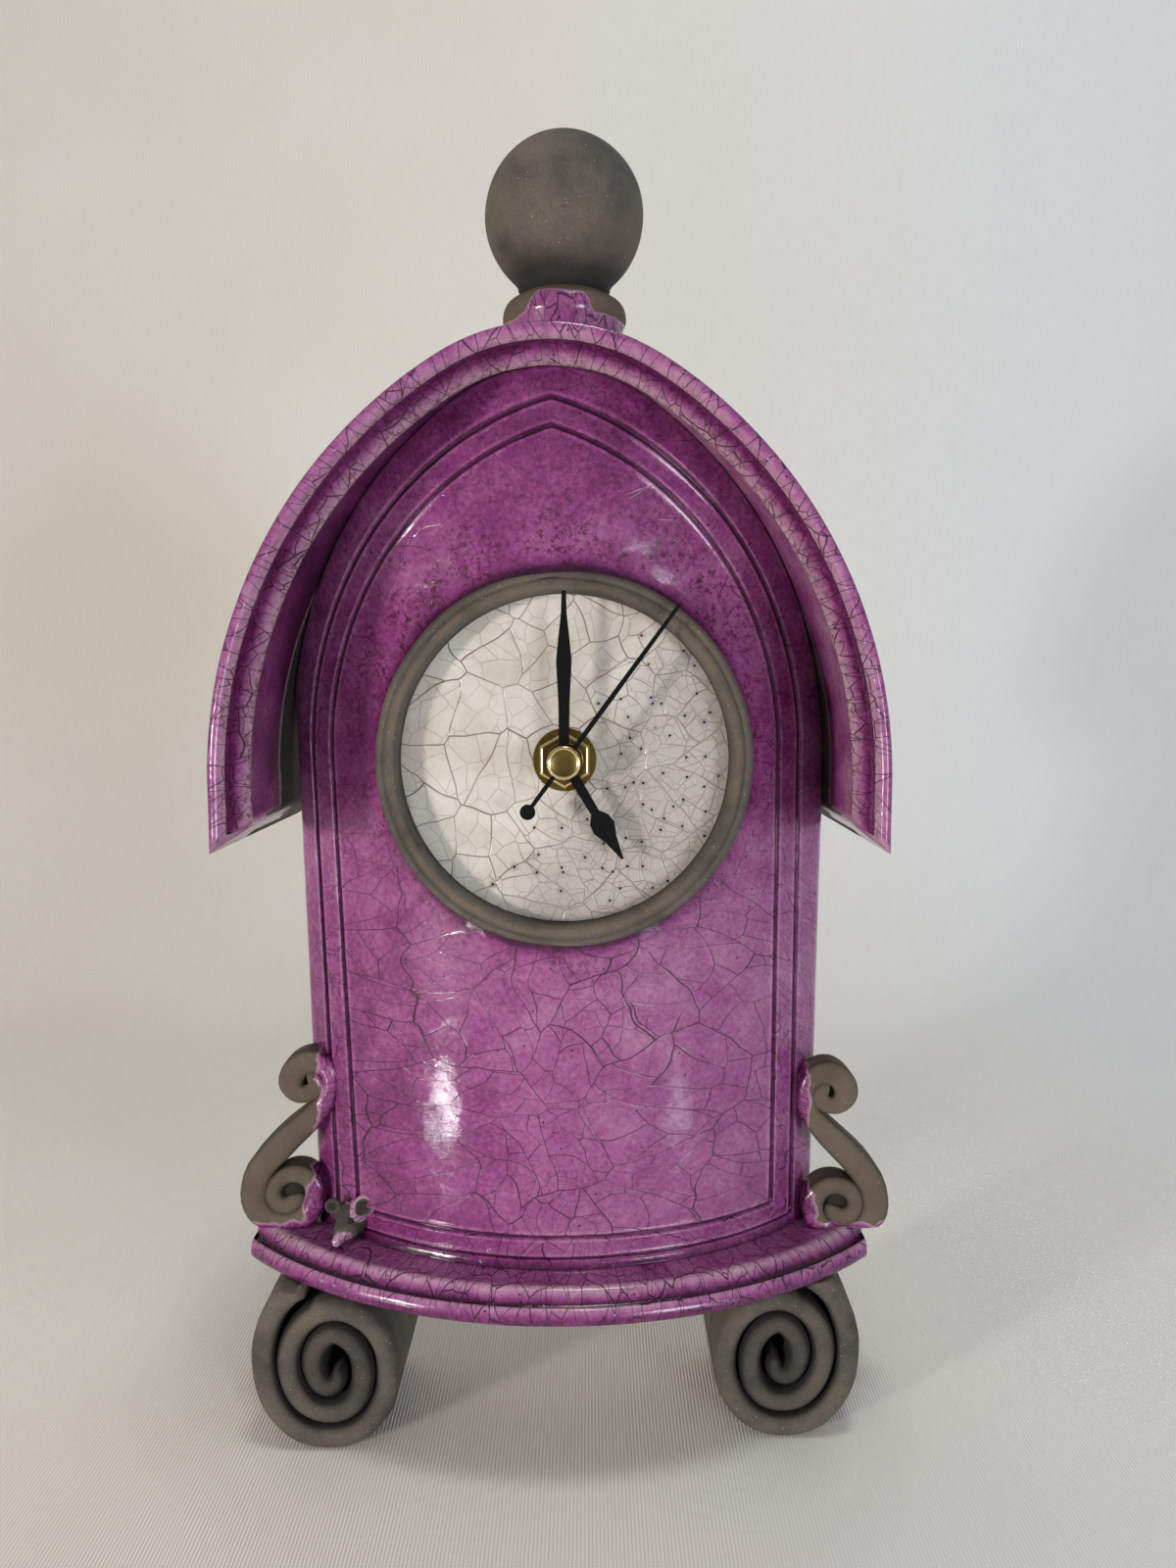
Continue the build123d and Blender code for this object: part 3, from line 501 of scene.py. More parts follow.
def build_hood():
    shape = Shape()
    section = hood_section()
    stations = hood_stations()
    order = [(1, s) for s in stations] + [(-1, s) for s in reversed(stations[:-1])]
    along, last = 0.0, None
    rows = []
    for hand, (kind, value) in order:
        x, z = hood_place(kind, value, HOOD_T / 2)
        if last:
            along += hypot(hand * x - last[0], z - last[1])
        last = (hand * x, z)
        row, across = [], 0.0
        for k, (depth, thick, pool_and_shade) in enumerate(section):
            if k:
                across += hypot(depth - section[k - 1][0], thick - section[k - 1][1])
            x, z = hood_place(kind, value, thick)
            front = exp(-depth / 12)
            uneven = wobble(x * hand, depth, z, 16.0, 3.1)
            sink = 0.35 * (1 + uneven) * front
            ripple = 0.25 * wobble(x * hand, depth * 2, z, 7.0, 8.4)
            inner = min(thick / HOOD_T, 1.0)
            x -= ripple * inner * (1 if kind == "side" else 0)
            end = max(0.0, 1 - value * 10) if kind == "side" else 0.0
            inside = ease(12, 22, depth) if thick > 2 else 0.0
            pool_and_shade += 0.35 * inside * wobble(x * hand, depth * 0.4, z, 8.0, 5.9)
            # Painted light on the right inside of the hood, painted shade high on its left inside
            pool_and_shade += inside * (-0.35 if hand > 0 else 0.3 * ease(190, 230, z))
            bare = max(ease(*OUTER_GLAZE, depth), inside * ease(*INNER_GLAZE, depth))
            if kind == "side" and value == 0.0:
                bare = max(bare, ease(*END_GLAZE, depth) * 0.9)
            flow = (along + 260 * (hand < 0), across * 0.42)
            place = (ARCH_X + x * hand, HOOD_FRONT + depth + sink, z)
            burn = 0.7 * ease(4, 7, depth)
            row.append(shape.point(place, flow, pool_and_shade - 0.4 * end, bare, burn, 1 - 0.6 * inside, inside))
        rows.append(row)
    shape.tube(rows)
    return shape.finish("hood", strip_glaze, "case", "purple_glaze", "roof_hood")


# Front panel, as rings from its edge in to the hole
LINES = ((6.8, 50.9), (13.0, 56.4))     # inset of each drawn line and the height of its foot
LINE_W, LINE_DEEP = 1.5, 0.9
LINE_R, LINE_C, LINE_Z = 88.0, 24.0, 177.0
RING_END = (20.0, 63.5)
HOLE_R = DIAL_R + 0.3
EDGE_ROUND = 1.4
SPECK_BAND = 2.0        # width of the evenly speckled band round the ring
ARCH_STEPS, POINT_STEPS, SIDE_STEPS, FOOT_STEPS = 70, 12, 64, 44


def both_sides(left, right):
    """The whole arch from its two halves, each drawn to the right and up to the point."""
    over = [(ARCH_X + x, z) for x, z in right]
    return over + [(ARCH_X - x, z) for x, z in reversed(left[:-1])]


def half_arch(inset, start_z):
    """One half of the hood's arch, inset from its outer skin and begun at a height."""
    radius = ARCH_R - inset
    start = degrees(asin((start_z - ARCH_Z) / radius))
    half = []
    for k in range(ARCH_STEPS):
        half.append(polar((-ARCH_C, ARCH_Z), radius, blend(start, ARCH_LEAN, k / ARCH_STEPS)))
    for k in range(POINT_STEPS + 1):
        half.append(polar((0, ARCH_Z + ARCH_RISE), APEX_R - inset, blend(ARCH_LEAN, 90, k / POINT_STEPS)))
    return half


def line_arch(inset):
    radius = LINE_R + LINES[0][0] - inset
    lean = degrees(acos(LINE_C / radius))
    steps = ARCH_STEPS + POINT_STEPS
    half = [polar((-LINE_C, LINE_Z), radius, lean * k / steps) for k in range(steps + 1)]
    return both_sides(half, half)


def ring_round(inset, foot, arch):
    """Points once round: along the foot, up the right side, over the arch and down again."""
    left, right = PANEL_LEFT + inset, PANEL_RIGHT - inset
    middle = (left + right) / 2
    knots = (((middle, foot), (right, foot), FOOT_STEPS), ((right, foot), arch[0], SIDE_STEPS),
             (arch[-1], (left, foot), SIDE_STEPS), ((left, foot), (middle, foot), FOOT_STEPS))
    runs = []
    for (a, b), (c, d), steps in knots:
        runs.append([(blend(a, c, k / steps), blend(b, d, k / steps)) for k in range(steps)])
    return runs[0] + runs[1] + arch[:-1] + runs[2] + runs[3]


EDGE_HALVES = [half_arch(HOOD_T, start_z) for start_z in PANEL_FITS]
RINGS = [(0.0, ring_round(0.0, BASE_TOP, both_sides(*EDGE_HALVES)))]
RINGS += [(inset, ring_round(inset, foot, line_arch(inset))) for inset, foot in LINES + (RING_END,)]


def panel_ring(inset):
    """The ring at an inset, between the rings of the edge and of the drawn lines."""
    for (low, a), (high, b) in zip(RINGS, RINGS[1:]):
        if inset <= high:
            share = (inset - low) / (high - low)
            return [(blend(x, u, share), blend(z, v, share)) for (x, z), (u, v) in zip(a, b)]
    return RINGS[-1][1]


def groove_depth(gap):
    """Depth of a drawn line and of the burr beside it, at a gap from its middle."""
    half = LINE_W / 2
    if gap < half:
        return LINE_DEEP * (1 - (gap / half) ** 2)
    return -0.14 * exp(-((gap - half - 0.25) / 0.3) ** 2)


def panel_front(x, z, inset):
    """(sink below the bowed face, pool value with painted shade, burn, crack) of the panel's front."""
    sink, pool_and_shade = 0.0, 0.0
    if inset < EDGE_ROUND:
        sink += EDGE_ROUND * (1 - sqrt(1 - (1 - inset / EDGE_ROUND) ** 2))
        pool_and_shade -= 0.5 * (1 - inset / EDGE_ROUND)
    for at, _ in LINES:
        gap = abs(inset - at)
        sink += groove_depth(gap)
        pool_and_shade += exp(-(gap / 0.3) ** 2) - 0.25 * exp(-((gap - 1.0) / 0.35) ** 2)
    out = hypot(x - AXIS_X, z - AXIS_Z)
    # Glaze fills the corners at the ring and at the ledge
    past_ring, above = max(out - BEZEL_OUT, 0), z - BASE_TOP
    pool_and_shade += 0.95 * exp(-past_ring / 1.3) + 0.9 * exp(-above / 1.4)
    sink -= 0.7 * exp(-past_ring / 0.9) + 1.3 * exp(-above / 0.9)
    # Painted shade under the hood and at the lower left; it is also darker towards the foot
    pool_and_shade += 0.35 * ease(228, 262, z) + 0.2 * ease(120, 200, z) - 0.1
    pool_and_shade += 0.3 * ease(10, -50, x) * ease(160, 120, z) + 0.12 * ease(120, 90, z)
    sink += 0.25 * wobble(x, 0, z, 22.0, 1.7) + 0.12 * wobble(x, 0, z, 8.0, 5.2)
    # Specks lie round the ring and above it, and cracks below it
    past_band = max(out - BEZEL_OUT - SPECK_BAND, 0)
    around = exp(-past_band / 9.0)
    side = 0.55 + 0.45 * wobble(x, 0, z, 20.0, 9.3)
    high = ease(150, 225, z) * exp(-past_band / 22.0)
    crack = 0.12 + 0.88 * ease(168, 128, z)
    return sink, pool_and_shade, min(1.0, around * side + 0.8 * high + 0.1), crack


def panel_flow(x, z):
    """Crack coordinates: cells get longer from the middle out to the sides."""
    return (0.5 * x + 9 * tanh(x / 18), z)


def panel_place(x, z, sink):
    return (x, BOW_Y - sqrt((PANEL_R - sink) ** 2 - x * x), z)


def border_along():
    """How far round the panel each point of a ring is, counted up both sides from the foot."""
    ring = RINGS[1][1]
    steps = [hypot(x - u, z - v) for (x, z), (u, v) in zip(ring, ring[1:] + ring[:1])]
    whole, run, along = sum(steps), 0.0, []
    for step in steps:
        along.append(min(run, whole - run))
        run += step
    return along


def ring_insets():
    """Insets of the rings from the edge in, close together at the edge and at the drawn lines."""
    insets = [EDGE_ROUND * (k / 5) ** 1.5 for k in range(6)]
    near = [0.25 * k for k in range(6)] + [1.7, 2.6]
    for at, _ in LINES:
        insets += [at - step for step in reversed(near)] + [at + step for step in near[1:]]
    return insets + [17.0, 18.5, RING_END[0]]


def build_panel():
    shape = Shape()
    rows = []
    edge = panel_ring(0)
    inner = panel_ring(RING_END[0])
    hole = [polar((AXIS_X, AXIS_Z), HOLE_R, degrees(atan2(z - AXIS_Z, x - AXIS_X))) for x, z in inner]
    for share in (0.0, 0.5, 1.0):
        ring = [(blend(a, c, share), blend(b, d, share)) for (a, b), (c, d) in zip(hole, edge)]
        rows.append([shape.point(panel_place(x, z, PANEL_T), (x, z), 0, 1) for x, z in ring])
    along = border_along()
    for inset in ring_insets():
        row = []
        for k, (x, z) in enumerate(panel_ring(inset)):
            sink, pool_and_shade, burn, crack = panel_front(x, z, inset)
            flow = panel_flow(x, z)
            if inset < LINES[1][0]:
                flow = (2.2 * along[k] + 0.9 * x, 400 + 0.7 * inset)
            row.append(shape.point(panel_place(x, z, sink), flow, pool_and_shade, 0, burn, max(crack, 0.5)))
        rows.append(row)
    steps = 34
    for k in range(1, steps + 1):
        share = 1 - (1 - k / steps) ** 1.25
        row = []
        for (a, b), (c, d) in zip(inner, hole):
            x, z = blend(a, c, share), blend(b, d, share)
            sink, pool_and_shade, burn, crack = panel_front(x, z, 30.0)
            row.append(shape.point(panel_place(x, z, sink), panel_flow(x, z), pool_and_shade, 0, burn, crack))
        rows.append(row)
    shape.skin(rows, wrap_rows=True)
    return shape.finish("panel", panel_glaze, "case", "purple_glaze", "front_panel")


# Base ledge
def ledge_profile():
    """(radius from the bow's axis, Z, pool) of the moulded edge, from below up to the flat top."""
    r, z, top = LEDGE_R, FOOT_TOP, BASE_TOP
    points = ((r - 1.8, z, 0.7), (r - 0.4, z + 0.7, 0.5), (r, z + 2.3, 0.4), (r - 0.6, z + 4.0, -0.2),
              (r - 1.7, z + 4.6, -0.4), (r - 2.9, z + 3.7, 1.0), (r - 3.9, z + 4.0, 0.7),
              (r - 5.2, top - 0.9, -0.1), (r - 6.3, top + 0.3, -0.6), (r - 7.5, top + 0.62, -0.5),
              (r - 9.0, top + 0.3, -0.1), (r - 12.0, top, -0.05), (r - 16.0, top, 0.0))
    return smooth_line(points, 4)


def build_ledge():
    shape = Shape()
    profile = ledge_profile()
    rows = []
    count = 150
    for n in range(count + 1):
        share = 2 * n / count - 1
        row, across = [], 0.0
        for k, (radius, z, pool_and_shade) in enumerate(profile):
            if k:
                across += hypot(radius - profile[k - 1][0], z - profile[k - 1][1])
            turn = share * asin(LEDGE_HALF / radius)
            uneven = 0.2 * (1 + wobble(radius * turn, radius, z, 12.0, 2.6)) * exp(-(LEDGE_R - radius) / 6)
            own = radius - uneven
            x, y = radius * sin(turn), LEDGE_Y - own * cos(turn)
            row.append(shape.point((x, y, z), (LEDGE_R * turn, across * 0.35 + 40), pool_and_shade, 0, 0.1))
        x = profile[-1][0] * sin(turn)
        back = ((BASE_BACK - 1, BASE_TOP), (BASE_BACK, BASE_TOP - 1), (BASE_BACK, FOOT_TOP + 1),
                (BASE_BACK - 1, FOOT_TOP))
        row.extend(shape.point((x, y, z), (x, y), 0, 1) for y, z in back)
        rows.append(row)
    shape.tube(rows)
    return shape.finish("ledge", strip_glaze, "case", "purple_glaze", "base_ledge")


# Straps: feet and scrolls
def build_strap(shape, middle, front, back, nose, bare_of, tones, edge, low=None, high=None):
    """A flat strap along (X, Z, half width) with rounded edges; tones are its first and last pool values.

    edge is (painted shade at the front's edges, side that lies open, share of the length over which it
    does).
    """
    edge_shade, open_side, open_share = edge
    ring = []
    for k in range(13):
        turn = radians(-90 + 15 * k)
        ring.append((sin(turn), front + nose * (1 - cos(turn)), 1 - cos(turn)))
    ring.extend([(1.0, blend(front + nose, back - nose, s), 1.0) for s in (0.33, 0.67)])
    for k in range(7):
        turn = radians(90 - 30 * k)
        ring.append((sin(turn), back - nose * (1 - cos(turn)), 1.0))
    ring.extend([(-1.0, blend(back - nose, front + nose, s), 1.0) for s in (0.33, 0.67)])
    rows = []
    along = 0.0
    last = len(middle) - 1
    for i, (x, z, half) in enumerate(middle):
        before, after = middle[max(i - 1, 0)], middle[min(i + 1, last)]
        dx, dz = after[0] - before[0], after[1] - before[1]
        size = hypot(dx, dz)
        nx, nz = -dz / size, dx / size
        along += size / 2
        row = []
        for across, y, shade in ring:
            px = x + nx * half * across
            pz = z + nz * half * across
            uneven = 0.22 * wobble(px, y, pz, 7.0, 4.4)
            px += nx * uneven * across
            pz += nz * uneven * across
            py = y + 0.25 * (1 + wobble(px, 0, pz, 9.0, 6.1)) * (1 if y < front + nose else 0)
            if low is not None:
                pz = max(pz, low)
            if high is not None:
                pz = min(pz, high)
            # Painted shade: the front's edges darken where turns meet and the sides darken throughout; the
            # open side of the first turn gets none
            strap_shade = edge_shade * abs(across) ** 4 if shade < 1.0 else 0.3
            if across * open_side > 0 and i < open_share * last:
                strap_shade = 0.0
            pool_and_shade = strap_shade + blend(*tones, i / last)
            row.append(shape.point((px, py, pz), (along, across * half), pool_and_shade, bare_of(px, py, pz)))
        rows.append(row)
    shape.tube(rows)


FOOT_X, FOOT_MID = 57.4, 21.5
FOOT_LONG = 44.0
FOOT_FRONTS = {"left_foot": -26.5, "right_foot": -21.5}
ROLL_PITCH, ROLL_T = 6.4, 6.0
ROLL_START, ROLL_END = 110, 1080
ROLL_OUT, ROLL_TALL = 18.75, 1.18
ROLL_UPPER, ROLL_LOWER = (0.8, 1.4), 0.9    # powers of X: below 1 squares the roll, above 1 points it


def roll_middle(hand):
    """(X, Z, half width) along the rolled strap; hand 1 is the left foot, -1 the right."""
    middle = []
    for angle in range(ROLL_START, ROLL_END + 1, 6):
        radius = ROLL_OUT - ROLL_PITCH * (angle - ROLL_START) / 360
        x, z = cos(radians(angle)), sin(radians(angle))
        power = ROLL_LOWER
        if z > 0:
            power = blend(*ROLL_UPPER, (angle - ROLL_START) / (ROLL_END - ROLL_START))
        x = copysign(abs(x) ** power, x)
        half = min(ROLL_T / 2, 0.9 * radius)
        tall = ROLL_TALL * (1 + 0.3 * ease(ROLL_START + 300, ROLL_END, angle))
        middle.append((hand * (radius * x - FOOT_X), FOOT_MID + radius * z * tall, half))
    return middle


def build_foot(name, hand):
    shape = Shape()
    front = FOOT_FRONTS[name]
    edge = (0.95, -hand, 360 / (ROLL_END - ROLL_START))
    build_strap(shape, roll_middle(hand), front, front + FOOT_LONG, 3.0, lambda x, y, z: 1.0,
                (0.1, 0.65), edge, 0.0, FOOT_TOP)
    return shape.finish(name + "_roll", clay, "case", "grey_clay", name)


LOWER_AT, UPPER_AT = (73.0, 57.0), (71.0, 88.0)
UPPER_CURL = ((5.8, 1.9), (5.6, 3.0), (4.8, 3.0), (3.1, 1.9), (1.7, 1.1), (1.0, 0.8))
STRAP = ((81.6, 63.6, 3.4), (76.0, 71.2, 3.4), (69.8, 77.6, 3.0), (65.7, 83.0, 2.3))
CURL_STEPS = 3
SCROLL_FRONT, SCROLL_BACK = -5.0, 4.5
PLUG_R = 5.0
GLAZE_EDGE = 66.2       # X at which the panel's glaze ends on a scroll
LEFT_SCROLL, RIGHT_SCROLL = (0.0, 3.7, 0.5), (2.7, 1.5, -2.6)   # (out, lean of the upper curl, up)


def scroll_middle(out, lean, up):
    """(X, Z, half width) along the strap, from the lower tip to the upper."""
    points = []
    for i in range(6 * CURL_STEPS + 1):
        k = i / CURL_STEPS
        x, z = polar(LOWER_AT, 1.6 + 1.35 * k, 180 + 90 * k)
        points.append((x, z, 1.0 + 0.4 * k))
    points.extend(STRAP)
    for i in range((len(UPPER_CURL) - 1) * CURL_STEPS + 1):
        k, part = divmod(i, CURL_STEPS)
        near, far = UPPER_CURL[k], UPPER_CURL[min(k + 1, len(UPPER_CURL) - 1)]
        radius, half = (blend(a, b, part / CURL_STEPS) for a, b in zip(near, far))
        x, z = polar(UPPER_AT, radius, 180 - 90 * i / CURL_STEPS)
        points.append((x, z, half))
    slope = lean / (UPPER_AT[1] - LOWER_AT[1])
    return [(x + out - slope * (z - LOWER_AT[1]), z + up, half) for x, z, half in points]


def build_plug(shape, x, z):
    """Pressed clay that closes the middle of a lower curl."""
    rows = []
    # The plug's high pool value paints shade in the middle of the curl
    for y in (SCROLL_FRONT + 2.4, SCROLL_BACK - 1.0):
        ring = [polar((x, z), PLUG_R, 15 * k) for k in range(24)]
        rows.append([shape.point((px, y, pz), (px, pz), 0.9, 1) for px, pz in ring])
    shape.tube(rows)


def build_scroll(name, hand, out, lean, up):
    line = smooth_line(scroll_middle(out, lean, up), 3)
    middle = [(hand * (x - 0.4), z, half + 0.25 + ease(2.1, 1.2, half)) for x, z, half in line]
    shape = Shape()

    def bare_of(x, y, z):
        edge = GLAZE_EDGE + 2.4 * ease(70, 52, z) + 2.2 * wobble(x, y, z, 5.0, 7.7)
        edge += (0.4 * out - 0.5 * lean) * ease(70, 85, z)
        low = z - (BASE_TOP + 1.6) + 2.0 * wobble(x, y, 0, 3.5, 2.9)
        return max(0.0, min(1.0, 0.5 + 0.28 * min(abs(x) - edge, low)))

    build_strap(shape, middle, SCROLL_FRONT, SCROLL_BACK, 1.6, bare_of, (0.3, 0.0), (0.5, 0, 0),
                BASE_TOP + 0.3)
    build_plug(shape, hand * (LOWER_AT[0] + out), LOWER_AT[1] + up)
    return shape.finish(name + "_curl", scroll_clay, "case", "grey_clay", name)


# Turned pieces
def lathe(shape, profile, count, place):
    """Rings of points from (radius, height, pool value, bare) values; place makes each a point in space."""
    rows = []
    for radius, height, pool_and_shade, bare in profile:
        row = []
        for k in range(count):
            turn = 2 * pi * k / count
            where, flow, extra = place(radius, height, turn)
            row.append(shape.point(where, flow, pool_and_shade, max(bare, extra[0]), extra[1]))
        rows.append(row)
    shape.tube(rows)


FINIAL_X, FINIAL_Y = 1.9, -10.0
BALL_R, BALL_Z = 19.5, 307.6
NECK_R, NECK_Z = 11.4, 289.0
COLLAR_GLAZE_Z = 281.8      # where the glaze ends on the collar


def build_finial():
    def upright(radius, z, turn):
        x, y = cos(turn), sin(turn)
        uneven = 0.2 * (wobble(x * radius, y * radius, z, 14.0, 3.3) - 1)
        own = max(radius + uneven * min(radius / 8, 1), 0.02)
        place = (FINIAL_X + own * x, FINIAL_Y + own * y, z + 0.1 * uneven)
        return place, (turn * 14, z), (1.0, 0.0)

    ball = Shape()
    # High pool values at the neck and the lower ball paint shade under the ball
    profile = [(10.2, NECK_Z - 0.4, 0.9, 1), (10.6, NECK_Z + 0.3, 0.9, 1), (NECK_R, NECK_Z + 1.3, 0.8, 1),
               (NECK_R + 0.1, NECK_Z + 2.2, 0.75, 1)]
    first = degrees(asin((NECK_Z + 3.6 - BALL_Z) / BALL_R))
    for k in range(41):
        turn = radians(blend(first, 89.5, k / 40))
        profile.append((BALL_R * cos(turn), BALL_Z + BALL_R * sin(turn), 0.7 * exp(-k / 5), 1))
    lathe(ball, profile, 96, upright)
    ball.finish("ball", clay, "case", "grey_clay", "finial_ball")

    def on_hood(radius, z, turn):
        x, y = cos(turn), sin(turn)
        uneven = 0.25 * (wobble(x * radius, y * radius, z, 9.0, 6.3) - 1)
        own = radius + uneven
        front = ease(0.0, -0.4, y)
        tongue = ease(-0.62, -0.42, x) * ease(0.5, 0.3, x)
        line = COLLAR_GLAZE_Z + front * (5.0 * tongue + 0.8 * wobble(x * 14, y * 14, 0, 5.0, 4.7))
        bare = min(1.0, max(0.0, 0.5 + 0.5 * (z - line)))
        return (FINIAL_X + own * x, FINIAL_Y + own * y, z), (turn * 18, z * 0.35), (bare, 0.1)

    collar = Shape()
    bead = ((13.0, 268.5), (13.0, 276.0), (14.3, 280.0), (15.4, 283.3), (14.2, 286.6), (10.4, 289.0))
    curve = smooth_line(bead, 6)
    lathe(collar, [(r, z, 0.5 * exp(-abs(z - 272) / 4) - 0.1, 0) for r, z in curve], 96, on_hood)
    collar.finish("collar", scroll_clay, "case", "grey_clay", "finial_collar")


def build_bezel():
    b, i, o = BEZEL_FRONT, BEZEL_IN, BEZEL_OUT
    # High pool values paint shade on the inner wall down to the dial and on the outer wall, and darken the
    # groove; low values on the ridges show wear
    curve = ((i, DIAL_Y, 0.9), (i, b + 4.5, 0.55), (i + 0.05, b + 2.0, 0.35), (i + 0.5, b + 0.7, 0.0),
             (i + 1.6, b + 0.1, -0.4), (i + 2.8, b + 0.45, -0.4), (i + 3.5, b + 1.1, 0.4),
             (i + 4.1, b + 0.9, 0.0), (i + 4.8, b + 1.1, -0.25), (o - 0.3, b + 2.0, -0.05),
             (o, b + 3.4, 0.5), (o, b + 8.0, 0.9),
             (o, -12.5, 0.9), (DIAL_R, -12.5, 0.9), (DIAL_R, DIAL_Y, 0.9))
    front = smooth_line(curve[:11], 4)
    shape = Shape()
    rows = []
    for radius, y, pool_and_shade in front + list(curve[11:]):
        row = []
        for k in range(180):
            turn = 2 * pi * k / 180
            x, z = cos(turn), sin(turn)
            uneven = 0.25 * (wobble(x * 40, 0, z * 40, 15.0, 2.2) - 0.6)
            rise = 0.25 * (1 + wobble(x * 42, radius, z * 42, 12.0, 5.5))
            own = radius + uneven * (1 if radius > i + 1 else 0.3)
            px, pz = AXIS_X + own * x, AXIS_Z + own * z
            py = y + rise
            if y >= b + 6:
                py = y
                if radius > DIAL_R + 1:
                    py = min(y, BOW_Y - sqrt(PANEL_R**2 - px * px) + 0.4)
            row.append(shape.point((px, py, pz), (turn * 43, radius), pool_and_shade, 1))
        rows.append(row)
    shape.skin(rows, wrap_rows=True)
    return shape.finish("bezel", clay, "case", "grey_clay", "bezel_ring")


def build_dial():
    profile = [(BUSH_R, DIAL_Y + DIAL_T), (DIAL_R, DIAL_Y + DIAL_T)]
    profile += [(DIAL_R, DIAL_Y + 0.4), (DIAL_R - 0.4, DIAL_Y)]
    profile += [(blend(DIAL_R - 0.4, BUSH_R, k / 30), DIAL_Y) for k in range(1, 31)]
    shape = Shape()
    rows = []
    for radius, y in profile:
        row = []
        for k in range(144):
            turn = 2 * pi * k / 144
            x, z = radius * cos(turn), radius * sin(turn)
            dip = 0.18 * (1 + wobble(x, 0, z, 16.0, 4.1)) * ease(7.5, 12, radius) if y <= DIAL_Y else 0.0
            close = ease(-10, 26, x - 0.55 * z + 4)
            row.append(shape.point((AXIS_X + x, y + dip, AXIS_Z + z), (x + 70, z - 30), 0, 0, close))
        rows.append(row)
    shape.skin(rows, wrap_rows=True)
    return shape.finish("dial", dial_glaze, "case", "white_glaze", "dial_disc")


# Nut and cap at the hub
NUT_FLATS, NUT_BACK, NUT_TALL = 12.0, DIAL_Y - 0.6, 2.4
CAP_R, CAP_BACK, CAP_TALL = 4.1, -31.9, 1.7


def build_nut():
    half, front = NUT_FLATS / 2, NUT_BACK - NUT_TALL
    section = ((BUSH_R, NUT_BACK, 0.6), (half, NUT_BACK, 0.6), (half, front + 0.8, 0.3),
               (half - 0.1, front + 0.35, -0.8), (half - 0.4, front + 0.08, -0.9),
               (half - 0.7, front, 0.0), (half - 0.9, front, 0.5), (BUSH_R + 0.6, front, 0.5),
               (BUSH_R + 0.3, front + 0.05, -0.8), (BUSH_R, front + 0.35, -0.6))
    shape = Shape()
    rows = []
    for out, y, pool_and_shade in section:
        flat_sided = ease(BUSH_R, half - 0.6, out)
        row = []
        for k in range(96):
            angle = 360 * k / 96
            corner = 1 / cos(radians((angle + 30) % 60 - 30))
            x, z = polar((AXIS_X, AXIS_Z), out * blend(1.0, corner, flat_sided), angle)
            row.append(shape.point((x, y, z), (x, z), pool_and_shade, 1))
        rows.append(row)
    shape.skin(rows, wrap_rows=True)
    return shape.finish("nut", rubbed_glint_brass, "case", "brass", "hex_nut")


def build_cap():
    def on_axis(radius, y, turn):
        x, z = AXIS_X + radius * cos(turn), AXIS_Z + radius * sin(turn)
        return (x, y, z), (x, z), (1.0, 0.0)

    face = CAP_BACK - CAP_TALL
    profile = ((CAP_R - 0.2, CAP_BACK, 0.5), (CAP_R, CAP_BACK - 0.2, 0.4), (CAP_R, face + 0.7, 0.2),
               (CAP_R - 0.15, face + 0.3, -0.8), (CAP_R - 0.4, face + 0.08, -0.9),
               (CAP_R - 0.65, face, -0.8), (CAP_R - 0.9, face + 0.1, -0.4),
               (CAP_R - 1.05, face + 0.2, 0.5), (1.0, face + 0.2, 0.6))
    shape = Shape()
    lathe(shape, [(radius, y, pool_and_shade, 1) for radius, y, pool_and_shade in profile], 64, on_axis)
    return shape.finish("cap", rubbed_glint_brass, "seconds", "brass", "seconds_cap")


# Mouse
MOUSE_NOSE, MOUSE_BACK = (-57.8, -17.0, 49.9), (-53.6, -5.5, 55.2)
MOUSE_EARS = ((-59.6, -9.6, 57.2, 2.2), (-51.2, -10.2, 57.5, 3.0))
MOUSE_EYES = ((-54.3, -13.0, 54.6), (-58.9, -12.2, 53.6))
MOUSE_WIDTHS = (2.6, 3.9, 4.4, 4.3, 3.8, 3.1, 2.3, 1.7, 1.3)     # from the back to the nose
MOUSE_GRAIN = 0.2


